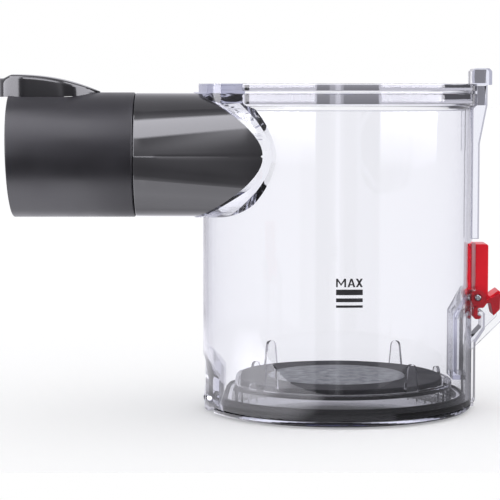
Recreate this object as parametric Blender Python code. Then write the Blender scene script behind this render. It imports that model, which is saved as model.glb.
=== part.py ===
"""Removable dust bin of a cordless stick vacuum cleaner, as an assembly of separate pieces.

A clear moulded bin with a tangential inlet duct, a sprung tube-release button on the duct's socket,
a hinged base door with its seal, fin plate and pad, and a sprung latch that holds the door shut.
Units are metres, +Z is up. The origin is on the bin's axis, on the flat underside of the door.
The inlet duct points along -X and lies in front of the axis, towards -Y. The latch is at +X.
"""

import math

import bmesh
import bpy
from mathutils import Matrix, Vector

# Facets
BIN_FACETS = 96
INNER_FACETS = 64
INSERT_FACETS = 48
COLLAR_FACETS = 96
SADDLE_FACETS = 192
DUCT_FACETS = 48
PIN_FACETS = 16
BOSS_FACETS = 24
POINTS_PER_TURN = 9

# Clearances
GAP = 0.0003          # between pieces that touch
RUNNING_GAP = 0.0004  # beside a piece that turns
PAST = 0.0100         # how far a cutter runs past what it cuts

# Bin shell. Heights are from the door's underside, and the rim's are measured down from the top.
BIN_RADIUS = 0.0590
BIN_WALL = 0.0022
BIN_BORE = BIN_RADIUS - BIN_WALL
BIN_TOP = 0.1420
RIM_RADIUS = BIN_RADIUS + 0.0015
RIM_BOTTOM = BIN_TOP - 0.0106
RIM_STEP = 0.0014
RIM_GROOVE_LOW = BIN_TOP - 0.0043
RIM_GROOVE_HIGH = BIN_TOP - 0.0030
RIM_GROOVE_DEPTH = 0.0007
RIM_SEAT_DEPTH = 0.0022
RIM_SEAT_WIDTH = 0.0011
LEAD_IN_WIDTH = 0.0011
LEAD_IN_HEIGHT = 0.0026
GUIDE_RIB_LOW = BIN_TOP - 0.0290
GUIDE_RIB_HIGH = BIN_TOP - 0.0110
GUIDE_RIB_DEPTH = 0.0022
GUIDE_RIB_WIDTH = 0.0020

# Base door, hinged at -X. Its seal, ring and plate are sized from the bin's bore.
DOOR_THICKNESS = 0.0024
DOOR_EDGE_ROUNDING = 0.0030
DOOR_CHORD = BIN_RADIUS - 0.0050
BIN_BOTTOM = DOOR_THICKNESS + GAP
SEAL_OUTER = BIN_BORE - 0.0004
SEAL_CHORD = SEAL_OUTER - 0.0064
SEAL_TOP = DOOR_THICKNESS + 0.0050
SEAL_LIP_DEPTH = 0.0009
DOOR_RING_OUTER = SEAL_OUTER - 0.0023
DOOR_RING_INNER = DOOR_RING_OUTER - 0.0015
DOOR_RING_TOP = DOOR_THICKNESS + 0.0042
CHORD_SOFTNESS = 0.0020

# Door hinge
HINGE_X = -BIN_RADIUS + 0.0032
HINGE_Z = DOOR_THICKNESS + 0.0038
HINGE_PIN_RADIUS = 0.00125
HINGE_PIN_HALF_LENGTH = 0.0170
HINGE_BARREL_RADIUS = HINGE_PIN_RADIUS + 0.00165
HINGE_BARREL_HALF_WIDTH = 0.0117
HINGE_STRAP_OUTER = HINGE_X - 0.0024
HINGE_STRAP_ROOT = 0.0020 - DOOR_CHORD
HINGE_STRAP_TOP = HINGE_Z - 0.0017
HINGE_STRAP_CHAMFER = 0.0012
HINGE_RECESS_HALF_WIDTH = HINGE_BARREL_HALF_WIDTH + RUNNING_GAP
HINGE_RECESS_X = HINGE_X + 0.0034
HINGE_RECESS_LOW = HINGE_Z + 0.0078
HINGE_RECESS_HIGH = HINGE_RECESS_LOW + 0.0106
HINGE_WALL = 0.0020
HINGE_HOUSING_HALF_WIDTH = 0.0350

# Fin plate and pad inside the door
PLATE_RADIUS = DOOR_RING_INNER - 0.0022
PLATE_CHORD = SEAL_CHORD - 0.0050
PLATE_WALL = 0.0018
PLATE_TOP = DOOR_THICKNESS + 0.0103
PLATE_EDGE = 0.0004
PLATE_DECK_TOP = PLATE_TOP - 0.0008
PLATE_DECK = 0.0016
FIN_WIDTH = 0.0070
FIN_TIP_WIDTH = 0.0046
FIN_THICKNESS = 0.0017
FIN_ROOT = 0.0010
FIN_INSET = 0.00005
FIN_CHORD_INSET = 0.0005
TALL_FIN_TOP = PLATE_TOP + 0.0116
TALL_FIN_ANGLES = (54.0, 126.0, -126.0, -54.0)
SHORT_FIN_TOP = PLATE_TOP + 0.0028
SHORT_FIN_ANGLES = (21.3, 137.0, -137.0, -21.3)
PAD_RADIUS = PLATE_RADIUS - PLATE_WALL - 0.0024
PAD_CHORD = PLATE_CHORD - PLATE_WALL - 0.0004
PAD_TOP = PLATE_DECK_TOP + 0.0023
PAD_CHAMFER = 0.0007
INSERT_RADIUS = 0.0300
INSERT_RECESS = 0.0010
INSERT_EDGE = PAD_TOP + 0.0002
INSERT_CROWN = PAD_TOP + 0.0014
INSERT_CHAMFER = 0.0003

# Latch at +X, measured from its pin, which stands just outside the wall
LATCH_X = BIN_RADIUS + 0.0020
LATCH_Z = 0.0492
LATCH_PIN_RADIUS = 0.0012
LATCH_HUB_RADIUS = LATCH_PIN_RADIUS + 0.0018
LATCH_HALF_WIDTH = 0.0072
LATCH_EDGE = 0.0004
CHEEK_INNER = LATCH_HALF_WIDTH + 0.0006
CHEEK_THICKNESS = 0.0022
CHEEK_OUTER = CHEEK_INNER + CHEEK_THICKNESS
CHEEK_BOSS_RADIUS = LATCH_PIN_RADIUS + 0.0023
LEVER_BAR_INNER = LATCH_X - 0.0009
LEVER_BAR_OUTER = LATCH_X + 0.0046
LEVER_BAR_FOOT = LATCH_X + 0.0026
LEVER_BAR_BOTTOM = LATCH_Z - 0.0047
LEVER_TOP = LATCH_Z + 0.0232
LEVER_CHAMFER = 0.0006
LATCH_FINGER_INNER = LATCH_X - 0.0016
BARB_OUTER = LATCH_X + 0.0016
BARB_NECK = LATCH_X + 0.0001
BARB_TOP = LATCH_Z - 0.0083
BARB_BOTTOM = LATCH_Z - 0.0096
BARB_SLOPE = 0.0008
NECK_FILLET = 0.0005
FINGER_TOP = LATCH_Z - 0.0040
# The thumb tab's corners from the pin, along X and Z, from the bar's back round its tip to its root
TAB_OUTLINE = (
    (0.0046, 0.0011), (0.0056, 0.0004), (0.0093, 0.0030), (0.0101, 0.0022),
    (0.0098, -0.0053), (0.0070, -0.0081), (0.0057, -0.0026), (0.0042, -0.0026),
)

# The door's tongue and lip, which the barb catches
TONGUE_INNER = BIN_RADIUS - 0.0006
TONGUE_OUTER = TONGUE_INNER + 0.0020
TONGUE_FOOT_OUTER = TONGUE_OUTER - 0.0006
TONGUE_FOOT_INNER = TONGUE_INNER - 0.0024
TONGUE_FOOT_TAPER = 0.0016
TONGUE_HALF_WIDTH = 0.0060
TONGUE_GROOVE_TOP = LATCH_Z - 0.0232
TONGUE_BEND_INNER = LATCH_Z - 0.0182
TONGUE_BEND_OUTER = LATCH_Z - 0.0202
HOOK_PLATE_INNER = BARB_OUTER + GAP
HOOK_PLATE_OUTER = HOOK_PLATE_INNER + 0.0015
HOOK_PLATE_BEND_INNER = LATCH_Z - 0.0132
HOOK_PLATE_BEND_OUTER = LATCH_Z - 0.0142
LIP_INNER = BARB_NECK + GAP
LIP_BOTTOM = BARB_TOP + GAP
LIP_TOP = LIP_BOTTOM + 0.0016
LIP_CHAMFER = 0.0006
LIP_OUTER_CHAMFER = 0.0008

# The latch's pocket in the wall, its spring and its side guards
POCKET_X = LATCH_X - 0.0090
POCKET_WALL = 0.0020
POCKET_FLOOR = PLATE_TOP + 0.0006 + POCKET_WALL
POCKET_ROOF_LOW = LATCH_Z - 0.0072
POCKET_ROOF_HIGH = LATCH_Z + 0.0038
POCKET_ROOF_OUTER = BIN_BORE - 0.0002
POCKET_MOUTH = LATCH_X + 0.0030
LATCH_SPRING_Z = LATCH_Z - 0.0076
LATCH_SPRING_RADIUS = 0.0019
LATCH_SPRING_WIRE = 0.00022
LATCH_SPRING_TURNS = 4
LATCH_SPRING_SEAT_X = POCKET_X + 0.0018
LATCH_SPRING_SEAT_RADIUS = LATCH_SPRING_RADIUS + 0.0007
SPRING_SEAT_ROOT = 0.0008
GUARD_ROOT = BIN_RADIUS - 0.0020
GUARD_OUTER = LATCH_X + 0.0102
GUARD_HEIGHTS = (-0.0240, -0.0100, 0.0026, -0.0058)  # root low, outer low, outer high, root high
LUG_HEIGHTS = (-0.0045, 0.0040)

# Rear hook and spine, above the latch
HOOK_HALF_WIDTH = 0.0080
HOOK_TOP = BIN_TOP + 0.0068
HOOK_BOTTOM = BIN_TOP - 0.0004
HOOK_OUTER = BIN_RADIUS + 0.0074
HOOK_INNER = BIN_RADIUS - 0.0012
HOOK_ROUNDING = 0.0012
HOOK_EDGE = 0.0006
HOOK_STEM_OUTER = BIN_RADIUS + 0.0059
HOOK_STEM_BOTTOM = BIN_TOP - 0.0092
HOOK_TAPER_BOTTOM = HOOK_STEM_BOTTOM - 0.0168
SPINE_HALF_WIDTH = 0.0045
SPINE_ROOT = BIN_RADIUS - 0.0010
SPINE_TOP_ROOT = BIN_RADIUS + 0.0002
SPINE_OUTER = BIN_RADIUS + 0.0027
SPINE_BOTTOM = LEVER_TOP + 0.0021

# Inlet duct: its outer side lies 7.4 mm inside the bin's, and its top 3.9 mm under the rim
DUCT_RADIUS = 0.0261
DUCT_WALL = 0.0031
DUCT_BORE = DUCT_RADIUS - DUCT_WALL
DUCT_Y = DUCT_RADIUS + 0.0074 - BIN_RADIUS
DUCT_Z = BIN_TOP - 0.0039 - DUCT_RADIUS
DUCT_AT_WALL = -round(math.sqrt(BIN_RADIUS ** 2 - DUCT_Y ** 2), 4)  # to 0.1 mm
DUCT_START = DUCT_AT_WALL - 0.0335
SPIGOT_LENGTH = 0.0080
SPIGOT_RADIUS = DUCT_BORE + 0.0016 - GAP
COLLAR_SPIGOT_LENGTH = 0.0050

# Where duct and bin meet: the collar's lip and the duct's end follow one upright cylinder
COLLAR_RADIUS = DUCT_RADIUS + 0.0005
COLLAR_FLARE = 0.0012
COLLAR_START = DUCT_AT_WALL - 0.0218
COLLAR_FLARE_START = DUCT_AT_WALL + 0.0162
COLLAR_FLARE_END = COLLAR_FLARE_START + 0.0120
COLLAR_END = COLLAR_FLARE_END + 0.0060
COLLAR_SPIGOT_END = DUCT_AT_WALL + 0.0232
SADDLE_RADIUS = DUCT_RADIUS + 0.0095
SADDLE_X = DUCT_AT_WALL + 0.0290
SADDLE_Y = DUCT_Y + 0.0083
FAIRING_START = DUCT_AT_WALL - 0.0108
FAIRING_END = DUCT_AT_WALL + 0.0232
FAIRING_FACE_Y = DUCT_Y - 0.0185
FAIRING_BACK_Y = DUCT_Y + 0.0175
FAIRING_BOTTOM = BIN_TOP - 0.0240
FAIRING_INSET = 0.00002  # keeps its end off the collar's, so that no two faces coincide

# The duct's socket sleeve, which leans back a little at its mouth
SLEEVE_RADIUS = DUCT_RADIUS + 0.0003
SLEEVE_TOP = DUCT_Z + SLEEVE_RADIUS
SLEEVE_MOUTH = DUCT_START - 0.0528
SLEEVE_EDGE = 0.0007
SLEEVE_STOP = SLEEVE_MOUTH + 0.0215
SLEEVE_STOP_BORE = DUCT_BORE - 0.0015
MOUTH_TILT = math.radians(1.5)

# Tube-release button: along X from the sleeve's mouth, and up from the sleeve's top
BUTTON_NOSE = SLEEVE_MOUTH - 0.0050
BUTTON_TIP = SLEEVE_MOUTH + 0.0380
BUTTON_NOSE_END = SLEEVE_MOUTH + 0.0075
BUTTON_TAIL_START = SLEEVE_MOUTH + 0.0195
BUTTON_HALF_WIDTH = 0.0094
BUTTON_WALL = 0.0017
BUTTON_NOSE_WALL = 1.2 * BUTTON_WALL
BUTTON_TAIL_WALL = 4.7 * BUTTON_WALL  # the thin tail is solid
BUTTON_BOTTOM = SLEEVE_TOP - 0.0016
BUTTON_TAIL_RISE = 0.0009
BUTTON_CROWN_START = SLEEVE_MOUTH + 0.0004
BUTTON_CROWN = SLEEVE_TOP + 0.0076
BUTTON_NOSE_TOP = SLEEVE_TOP + 0.0060
BUTTON_CROWN_DROP = 0.0074
BUTTON_CROWN_POWER = 2.3
BUTTON_SHOULDER = 0.0012
BUTTON_SHOULDER_DROP = 0.0003
BUTTON_CROWN_FALL = 0.00005
BUTTON_CROWN_MARGIN = 0.0002
BUTTON_STATIONS = 18
NOSE_POWER = 2.4
TAIL_POWER = 3.0
NOSE_FLAT = 0.00015
TAIL_FLAT = 0.0004
BUTTON_PIVOT_X = SLEEVE_MOUTH + 0.0195
BUTTON_PIVOT_Z = SLEEVE_TOP + 0.0013
BUTTON_PIN_RADIUS = 0.0011
BUTTON_PIN_HALF_LENGTH = 0.0080
BUTTON_EAR_INNER = 0.0048
BUTTON_EAR_OUTER = BUTTON_EAR_INNER + 0.0014
BUTTON_EAR_RADIUS = BUTTON_PIN_RADIUS + 0.0011
BUTTON_LAND_Z = BUTTON_BOTTOM - RUNNING_GAP
BUTTON_EAR_ROOTS = (BUTTON_LAND_Z - 0.0006, BUTTON_LAND_Z - 0.0008)
BUTTON_POCKET_TAIL_Z = BUTTON_LAND_Z - 0.0015
BUTTON_POCKET_MARGIN = 0.0005
BUTTON_POCKET_LEVEL_END = 0.0030
NIB_START = SLEEVE_MOUTH + 0.0029
NIB_END = SLEEVE_MOUTH + 0.0059
NIB_HALF_WIDTH = 0.0026
NIB_BOTTOM = SLEEVE_TOP - 0.0047
NIB_CHAMFER = (0.0008, 0.0006)
NIB_SLOT_MARGIN = 0.0009
BUTTON_SPRING_X = SLEEVE_MOUTH + 0.0265
BUTTON_SPRING_RADIUS = 0.0019
BUTTON_SPRING_WIRE = 0.00022
BUTTON_SPRING_TURNS = 4
BUTTON_SPRING_SEAT_Z = SLEEVE_TOP - 0.0031
BUTTON_SPRING_SEAT_RADIUS = BUTTON_SPRING_RADIUS + 0.0008

WALL_SHIFT = 0.0002  # keeps a slope's end off the wall's own edge
SHARP_ANGLE = math.radians(32)
END_TURN_SQUEEZE = 0.2


# ---------------------------------------------------------------- materials

def make_material(name, color, roughness, metallic=0.0, transmission=0.0):
    material = bpy.data.materials.new(name)
    material.use_nodes = True
    shader = material.node_tree.nodes["Principled BSDF"]
    shader.inputs["Base Color"].default_value = (*color, 1.0)
    shader.inputs["Roughness"].default_value = roughness
    shader.inputs["Metallic"].default_value = metallic
    shader.inputs["Transmission Weight"].default_value = transmission
    material.diffuse_color = (*color, 1.0)
    return material


def make_materials():
    return {
        "clear": make_material("clear_plastic", (0.93, 0.94, 0.98), 0.04, transmission=0.95),
        "gloss_dark": make_material("gloss_dark_plastic", (0.030, 0.028, 0.032), 0.12),
        "matte_dark": make_material("matte_dark_plastic", (0.045, 0.043, 0.052), 0.55),
        "red": make_material("red_plastic", (0.75, 0.012, 0.025), 0.25),
        "rubber": make_material("black_rubber", (0.020, 0.020, 0.022), 0.60),
        "pad": make_material("pad_rubber", (0.035, 0.036, 0.042), 0.65),
        "insert": make_material("pad_insert", (0.110, 0.115, 0.130), 0.75),
        "steel": make_material("steel", (0.62, 0.62, 0.64), 0.28, metallic=1.0),
    }


# ---------------------------------------------------------------- mesh helpers

def new_object(name, mesh):
    obj = bpy.data.objects.new(name, mesh)
    bpy.context.scene.collection.objects.link(obj)
    return obj


def object_from_bmesh(name, bm):
    bmesh.ops.recalc_face_normals(bm, faces=bm.faces)
    mesh = bpy.data.meshes.new(name)
    bm.to_mesh(mesh)
    bm.free()
    return new_object(name, mesh)


def loft(name, loops, ring=False):
    """A skin through loops with equal point counts, capped at both ends or closed into a ring."""
    bm = bmesh.new()
    rows = [[bm.verts.new(point) for point in loop] for loop in loops]
    pairs = list(zip(rows, rows[1:]))
    if ring:
        pairs.append((rows[-1], rows[0]))
    count = len(rows[0])
    for lower, upper in pairs:
        for i in range(count):
            j = (i + 1) % count
            bm.faces.new((lower[i], lower[j], upper[j], upper[i]))
    if not ring:
        bm.faces.new(rows[0])
        bm.faces.new(rows[-1])
    return object_from_bmesh(name, bm)


def extrude(name, outline, start, end, axis="Y"):
    """A prism: the outline is in the plane across the axis, XZ for Y, XY for Z and YZ for X."""
    place = {
        "Y": lambda a, b, level: (a, level, b),
        "Z": lambda a, b, level: (a, b, level),
        "X": lambda a, b, level: (level, a, b),
    }[axis]
    bm = bmesh.new()
    face = bm.faces.new([bm.verts.new(place(a, b, start)) for a, b in outline])
    moved = bmesh.ops.extrude_face_region(bm, geom=[face])["geom"]
    shift = Vector(place(0.0, 0.0, end - start))
    bmesh.ops.translate(bm, vec=shift, verts=[v for v in moved if isinstance(v, bmesh.types.BMVert)])
    return object_from_bmesh(name, bm)


def rectangle(low_a, low_b, high_a, high_b):
    return [(low_a, low_b), (high_a, low_b), (high_a, high_b), (low_a, high_b)]


def arc(center, radius, start, end, steps):
    """Points on an arc in a plane, angles in degrees."""
    points = []
    for i in range(steps + 1):
        angle = math.radians(start + (end - start) * i / steps)
        points.append((center[0] + radius * math.cos(angle), center[1] + radius * math.sin(angle)))
    return points


def circle_z(radius, z, center=(0.0, 0.0), facets=BIN_FACETS):
    step = 2 * math.pi / facets
    return [
        (center[0] + radius * math.cos(i * step), center[1] + radius * math.sin(i * step), z)
        for i in range(facets)
    ]


def chord_loop(radius, chord, z, facets=INNER_FACETS):
    """A circle flattened at -X along a chord, with softly rounded corners."""
    points = []
    for x, y, _ in circle_z(radius, z, facets=facets):
        over = x + chord
        points.append((0.5 * (over + math.hypot(over, CHORD_SOFTNESS)) - chord, y, z))
    return points


def duct_loop(x, radius, side=0.0, tilt=0.0, facets=DUCT_FACETS):
    """A section across the duct's axis. side widens it along Y, tilt leans its plane."""
    step = 2 * math.pi / facets
    points = []
    for i in range(facets):
        along, up = math.cos(i * step), math.sin(i * step)
        z = radius * up
        points.append((x - z * math.tan(tilt), DUCT_Y + (radius + side) * along, DUCT_Z + z))
    return points


def turned(name, profile, ring=False, facets=BIN_FACETS, center=(0.0, 0.0)):
    """A body of revolution about a vertical axis, from (radius, z) points."""
    return loft(name, [circle_z(r, z, center, facets) for r, z in profile], ring)


def duct_tube(name, start, end, radius, facets=DUCT_FACETS):
    return loft(name, [duct_loop(start, radius, facets=facets), duct_loop(end, radius, facets=facets)])


def rod_y(name, x, z, radius, start, end, facets=PIN_FACETS):
    return extrude(name, arc((x, z), radius, 0, 360 - 360 / facets, facets - 1), start, end)


def rod_x(name, y, z, radius, start, end, facets=PIN_FACETS):
    return extrude(name, arc((y, z), radius, 0, 360 - 360 / facets, facets - 1), start, end, "X")


def bevel(obj, width, segments=2):
    modifier = obj.modifiers.new("edges", "BEVEL")
    modifier.width = width
    modifier.segments = segments
    modifier.limit_method = "ANGLE"
    modifier.angle_limit = SHARP_ANGLE
    return obj


def combine(obj, operation, others):
    """Booleans the others into the object and keeps the result as its own mesh."""
    for other in others:
        modifier = obj.modifiers.new(other.name, "BOOLEAN")
        modifier.object = other
        modifier.operation = operation
        modifier.solver = "EXACT"
    settle(obj)
    for other in others:
        bpy.data.objects.remove(other, do_unlink=True)
    return obj


def settle(obj):
    """Turns the object's modifiers into plain mesh."""
    graph = bpy.context.evaluated_depsgraph_get()
    mesh = bpy.data.meshes.new_from_object(obj.evaluated_get(graph))
    obj.modifiers.clear()
    obj.data = mesh


def add(obj, *others):
    return combine(obj, "UNION", others)


def cut(obj, *others):
    return combine(obj, "DIFFERENCE", others)


def keep_inside(obj, other):
    return combine(obj, "INTERSECT", [other])


def triangulate(obj):
    """Splits faces that a cut left large and slightly bent, so that the next boolean sees flat ones."""
    bm = bmesh.new()
    bm.from_mesh(obj.data)
    bmesh.ops.triangulate(bm, faces=bm.faces)
    bm.to_mesh(obj.data)
    bm.free()


def finish(obj, material):
    """Cleans slivers left by the cuts, shades the piece and gives it its material."""
    if obj.modifiers:
        settle(obj)
    bm = bmesh.new()
    bm.from_mesh(obj.data)
    bmesh.ops.remove_doubles(bm, verts=bm.verts, dist=2e-6)
    bmesh.ops.dissolve_degenerate(bm, dist=2e-6, edges=bm.edges)
    bmesh.ops.dissolve_limit(
        bm, angle_limit=math.radians(0.05), use_dissolve_boundaries=False,
        verts=bm.verts, edges=bm.edges, delimit={"NORMAL"},
    )
    bmesh.ops.triangulate(bm, faces=bm.faces)
    bm.to_mesh(obj.data)
    bm.free()
    obj.data.materials.clear()
    obj.data.materials.append(material)
    obj.data.shade_smooth()
    obj.data.set_sharp_from_angle(angle=SHARP_ANGLE)
    return obj


def move_origin(obj, point):
    """Puts the object's origin at a point without moving the shape."""
    obj.data.transform(Matrix.Translation(-Vector(point)))
    obj.location = point


def make_axis(name, point):
    axis = bpy.data.objects.new(name, None)
    axis.empty_display_size = 0.01
    axis.location = point
    bpy.context.scene.collection.objects.link(axis)
    return axis


def hang_on(axis, *pieces):
    """Parents pieces to an axis empty, keeping them where they are."""
    bpy.context.view_layer.update()
    for piece in pieces:
        piece.parent = axis
        piece.matrix_parent_inverse = axis.matrix_world.inverted()


def coil_points(center, axis, radius, start, end, turns):
    """Points along a spring from start to end on its axis, with its end turns drawn in."""
    count = turns * POINTS_PER_TURN
    points = []
    for i in range(count + 1):
        share = i / count
        eased = share - END_TURN_SQUEEZE * math.sin(2 * math.pi * share) / (2 * math.pi)
        level = start + (end - start) * eased
        angle = 2 * math.pi * turns * share
        across, up = radius * math.cos(angle), radius * math.sin(angle)
        if axis == "Z":
            points.append(Vector((center[0] + across, center[1] + up, level)))
        else:
            points.append(Vector((level, center[1] + across, center[2] + up)))
    return points


def least_self_gap(points, wire):
    """The least clear gap between neighbouring turns of a spring."""
    least = min(
        (points[i] - points[j]).length
        for i in range(len(points))
        for j in range(i + POINTS_PER_TURN - 2, min(i + POINTS_PER_TURN + 3, len(points)))
    )
    return least - 2 * wire


def make_spring(name, points, wire, material):
    curve = bpy.data.curves.new(name, "CURVE")
    curve.dimensions = "3D"
    curve.bevel_depth = wire
    curve.bevel_resolution = 1
    curve.use_fill_caps = True
    spline = curve.splines.new("POLY")
    spline.points.add(len(points) - 1)
    for spot, point in zip(spline.points, points):
        spot.co = (*point, 1.0)
    curve.materials.append(material)
    print(f"{name}: least gap between turns {1000 * least_self_gap(points, wire):.2f} mm")
    return new_object(name, curve)


# ---------------------------------------------------------------- bin shell

def saddle_cylinder(name, extra=0.0):
    """The upright cylinder whose surface the duct's end and the collar's lip follow."""
    radius = SADDLE_RADIUS + extra
    low, high = DUCT_Z - DUCT_RADIUS - PAST, BIN_TOP + PAST
    profile = [(radius, low), (radius, high)]
    return turned(name, profile, facets=SADDLE_FACETS, center=(SADDLE_X, SADDLE_Y))


def outer_body():
    groove = RIM_RADIUS - RIM_GROOVE_DEPTH
    return turned("bin_shell", [
        (BIN_RADIUS, BIN_BOTTOM),
        (BIN_RADIUS, RIM_BOTTOM),
        (RIM_RADIUS, RIM_BOTTOM + RIM_STEP),
        (RIM_RADIUS, RIM_GROOVE_LOW),
        (groove, RIM_GROOVE_LOW),
        (groove, RIM_GROOVE_HIGH),
        (RIM_RADIUS, RIM_GROOVE_HIGH),
        (RIM_RADIUS, BIN_TOP),
    ])


def collar():
    """The moulded stub that the duct plugs onto, flared where it meets the bin's wall."""
    body = loft("collar", [
        duct_loop(COLLAR_START, COLLAR_RADIUS, facets=COLLAR_FACETS),
        duct_loop(COLLAR_FLARE_START, COLLAR_RADIUS, facets=COLLAR_FACETS),
        duct_loop(COLLAR_FLARE_END, COLLAR_RADIUS, side=COLLAR_FLARE, facets=COLLAR_FACETS),
        duct_loop(COLLAR_END, COLLAR_RADIUS, side=COLLAR_FLARE, facets=COLLAR_FACETS),
    ])
    return keep_inside(body, saddle_cylinder("collar_limit"))


def collar_spigot():
    """The thin tube past the collar's lip that the duct's end slides over."""
    body = duct_tube("collar_spigot", COLLAR_START, COLLAR_SPIGOT_END, SPIGOT_RADIUS)
    return keep_inside(body, saddle_cylinder("spigot_limit", COLLAR_SPIGOT_LENGTH))


def fairing():
    """The block between the collar and the rim, flush with the rim's top."""
    outline = rectangle(FAIRING_START, FAIRING_FACE_Y, FAIRING_END, FAIRING_BACK_Y)
    body = extrude("fairing", outline, FAIRING_BOTTOM, BIN_TOP, "Z")
    return keep_inside(body, saddle_cylinder("fairing_limit", -FAIRING_INSET))


def rear_hook():
    """A spine up the wall that widens into a stem, and the cap that hooks over the cleaner's catch."""
    step = HOOK_ROUNDING
    stem = extrude("spine", [
        (SPINE_ROOT, SPINE_BOTTOM), (SPINE_OUTER, SPINE_BOTTOM), (SPINE_OUTER, HOOK_TAPER_BOTTOM),
        (HOOK_STEM_OUTER, HOOK_STEM_BOTTOM), (HOOK_STEM_OUTER, BIN_TOP + GAP),
        (SPINE_TOP_ROOT, BIN_TOP + GAP), (SPINE_ROOT, RIM_BOTTOM),
    ], -SPINE_HALF_WIDTH, SPINE_HALF_WIDTH)
    cap_outline = [
        (HOOK_INNER, HOOK_BOTTOM), (HOOK_OUTER, HOOK_BOTTOM),
        (HOOK_OUTER, HOOK_TOP - step), (HOOK_OUTER - step, HOOK_TOP),
        (HOOK_INNER + step, HOOK_TOP), (HOOK_INNER, HOOK_TOP - step),
    ]
    cap = extrude("hook_cap", cap_outline, -HOOK_HALF_WIDTH, HOOK_HALF_WIDTH)
    return [stem, bevel(cap, HOOK_EDGE)]


def guards():
    """Two clear side plates that stand either side of the latch, each with a boss for its pin."""
    plates = []
    places = (GUARD_ROOT, GUARD_OUTER, GUARD_OUTER, GUARD_ROOT)
    outline = [(x, LATCH_Z + height) for x, height in zip(places, GUARD_HEIGHTS)]
    lug = arc((LATCH_X, LATCH_Z), CHEEK_BOSS_RADIUS, -60, 120, 12)
    lug += [(GUARD_ROOT, LATCH_Z + height) for height in reversed(LUG_HEIGHTS)]
    for side in (-1, 1):
        near, far = side * CHEEK_INNER, side * CHEEK_OUTER
        plates.append(extrude(f"guard_{side}", outline, near, far))
        plates.append(extrude(f"lug_{side}", lug, near, far))
    return plates


def bin_cavity():
    """The space inside the bin, less the hinge housing, the latch pocket's housing and the rib."""
    seat = BIN_BORE + RIM_SEAT_WIDTH
    cavity = turned("bin_cavity", [
        (BIN_BORE + LEAD_IN_WIDTH, -PAST), (BIN_BORE + LEAD_IN_WIDTH, BIN_BOTTOM),
        (BIN_BORE, BIN_BOTTOM + LEAD_IN_HEIGHT), (BIN_BORE, BIN_TOP - RIM_SEAT_DEPTH - RIM_SEAT_WIDTH),
        (seat, BIN_TOP - RIM_SEAT_DEPTH), (seat, BIN_TOP + PAST),
    ])
    past_wall = BIN_RADIUS + PAST
    inner = HINGE_RECESS_X + HINGE_WALL
    hinge_housing = extrude("hinge_housing", [
        (-past_wall, -2 * PAST), (inner - LEAD_IN_WIDTH, -2 * PAST), (inner - LEAD_IN_WIDTH, BIN_BOTTOM),
        (inner, BIN_BOTTOM + LEAD_IN_HEIGHT), (inner, HINGE_RECESS_LOW + HINGE_WALL),
        (-BIN_BORE - WALL_SHIFT, HINGE_RECESS_HIGH + HINGE_WALL),
        (-past_wall, HINGE_RECESS_HIGH + HINGE_WALL),
    ], -HINGE_HOUSING_HALF_WIDTH, HINGE_HOUSING_HALF_WIDTH)
    back = POCKET_X - POCKET_WALL
    latch_housing = extrude("latch_housing", [
        (back, POCKET_FLOOR - POCKET_WALL), (past_wall, POCKET_FLOOR - POCKET_WALL),
        (past_wall, POCKET_ROOF_HIGH), (POCKET_ROOF_OUTER, POCKET_ROOF_HIGH), (back, POCKET_ROOF_LOW),
    ], -CHEEK_OUTER, CHEEK_OUTER)
    rib_inner = BIN_BORE - GUIDE_RIB_DEPTH
    rib = extrude("guide_rib", rectangle(rib_inner, GUIDE_RIB_LOW, past_wall, GUIDE_RIB_HIGH),
                  -GUIDE_RIB_WIDTH / 2, GUIDE_RIB_WIDTH / 2)
    return cut(cavity, hinge_housing, latch_housing, rib)


def shell_cutters():
    past_wall = BIN_RADIUS + 2 * PAST
    half = HINGE_RECESS_HALF_WIDTH
    hinge_recess = extrude("hinge_recess", [
        (-past_wall, -PAST), (HINGE_RECESS_X, -PAST), (HINGE_RECESS_X, HINGE_RECESS_LOW),
        (-BIN_RADIUS - WALL_SHIFT, HINGE_RECESS_HIGH), (-past_wall, HINGE_RECESS_HIGH),
    ], -half, half)
    slope = (POCKET_ROOF_HIGH - POCKET_ROOF_LOW) / (POCKET_ROOF_OUTER - POCKET_X + POCKET_WALL)
    roof_start = POCKET_ROOF_LOW - 0.5 * POCKET_WALL
    roof_end = roof_start + slope * (POCKET_MOUTH - POCKET_X)
    latch_pocket = extrude("latch_pocket", [
        (POCKET_X, POCKET_FLOOR), (past_wall, POCKET_FLOOR), (past_wall, roof_end),
        (POCKET_MOUTH, roof_end), (POCKET_X, roof_start),
    ], -CHEEK_INNER, CHEEK_INNER)
    tongue_side = TONGUE_HALF_WIDTH + RUNNING_GAP
    groove = extrude("tongue_groove", rectangle(
        TONGUE_INNER - GAP, -PAST, past_wall, TONGUE_GROOVE_TOP), -tongue_side, tongue_side)
    hinge_end, latch_end = HINGE_PIN_HALF_LENGTH + PAST, CHEEK_OUTER + PAST
    hinge_hole = rod_y("hinge_hole", HINGE_X, HINGE_Z, HINGE_PIN_RADIUS + GAP, -hinge_end, hinge_end)
    latch_hole = rod_y("latch_hole", LATCH_X, LATCH_Z, LATCH_PIN_RADIUS + GAP, -latch_end, latch_end)
    bore = duct_tube("inlet_bore", COLLAR_START - PAST, COLLAR_FLARE_END + 0.1 * PAST, DUCT_BORE)
    return [hinge_recess, latch_pocket, groove, hinge_hole, latch_hole, bore]


def spring_seat():
    return rod_x("spring_seat", 0.0, LATCH_SPRING_Z, LATCH_SPRING_SEAT_RADIUS,
                 POCKET_X - SPRING_SEAT_ROOT, LATCH_SPRING_SEAT_X, BOSS_FACETS)


def make_bin_shell(material):
    shell = outer_body()
    add(shell, collar(), collar_spigot(), fairing(), *rear_hook(), *guards())
    cut(shell, bin_cavity(), *shell_cutters())
    add(shell, spring_seat())
    return finish(shell, material)


# ---------------------------------------------------------------- inlet duct and sleeve

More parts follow.
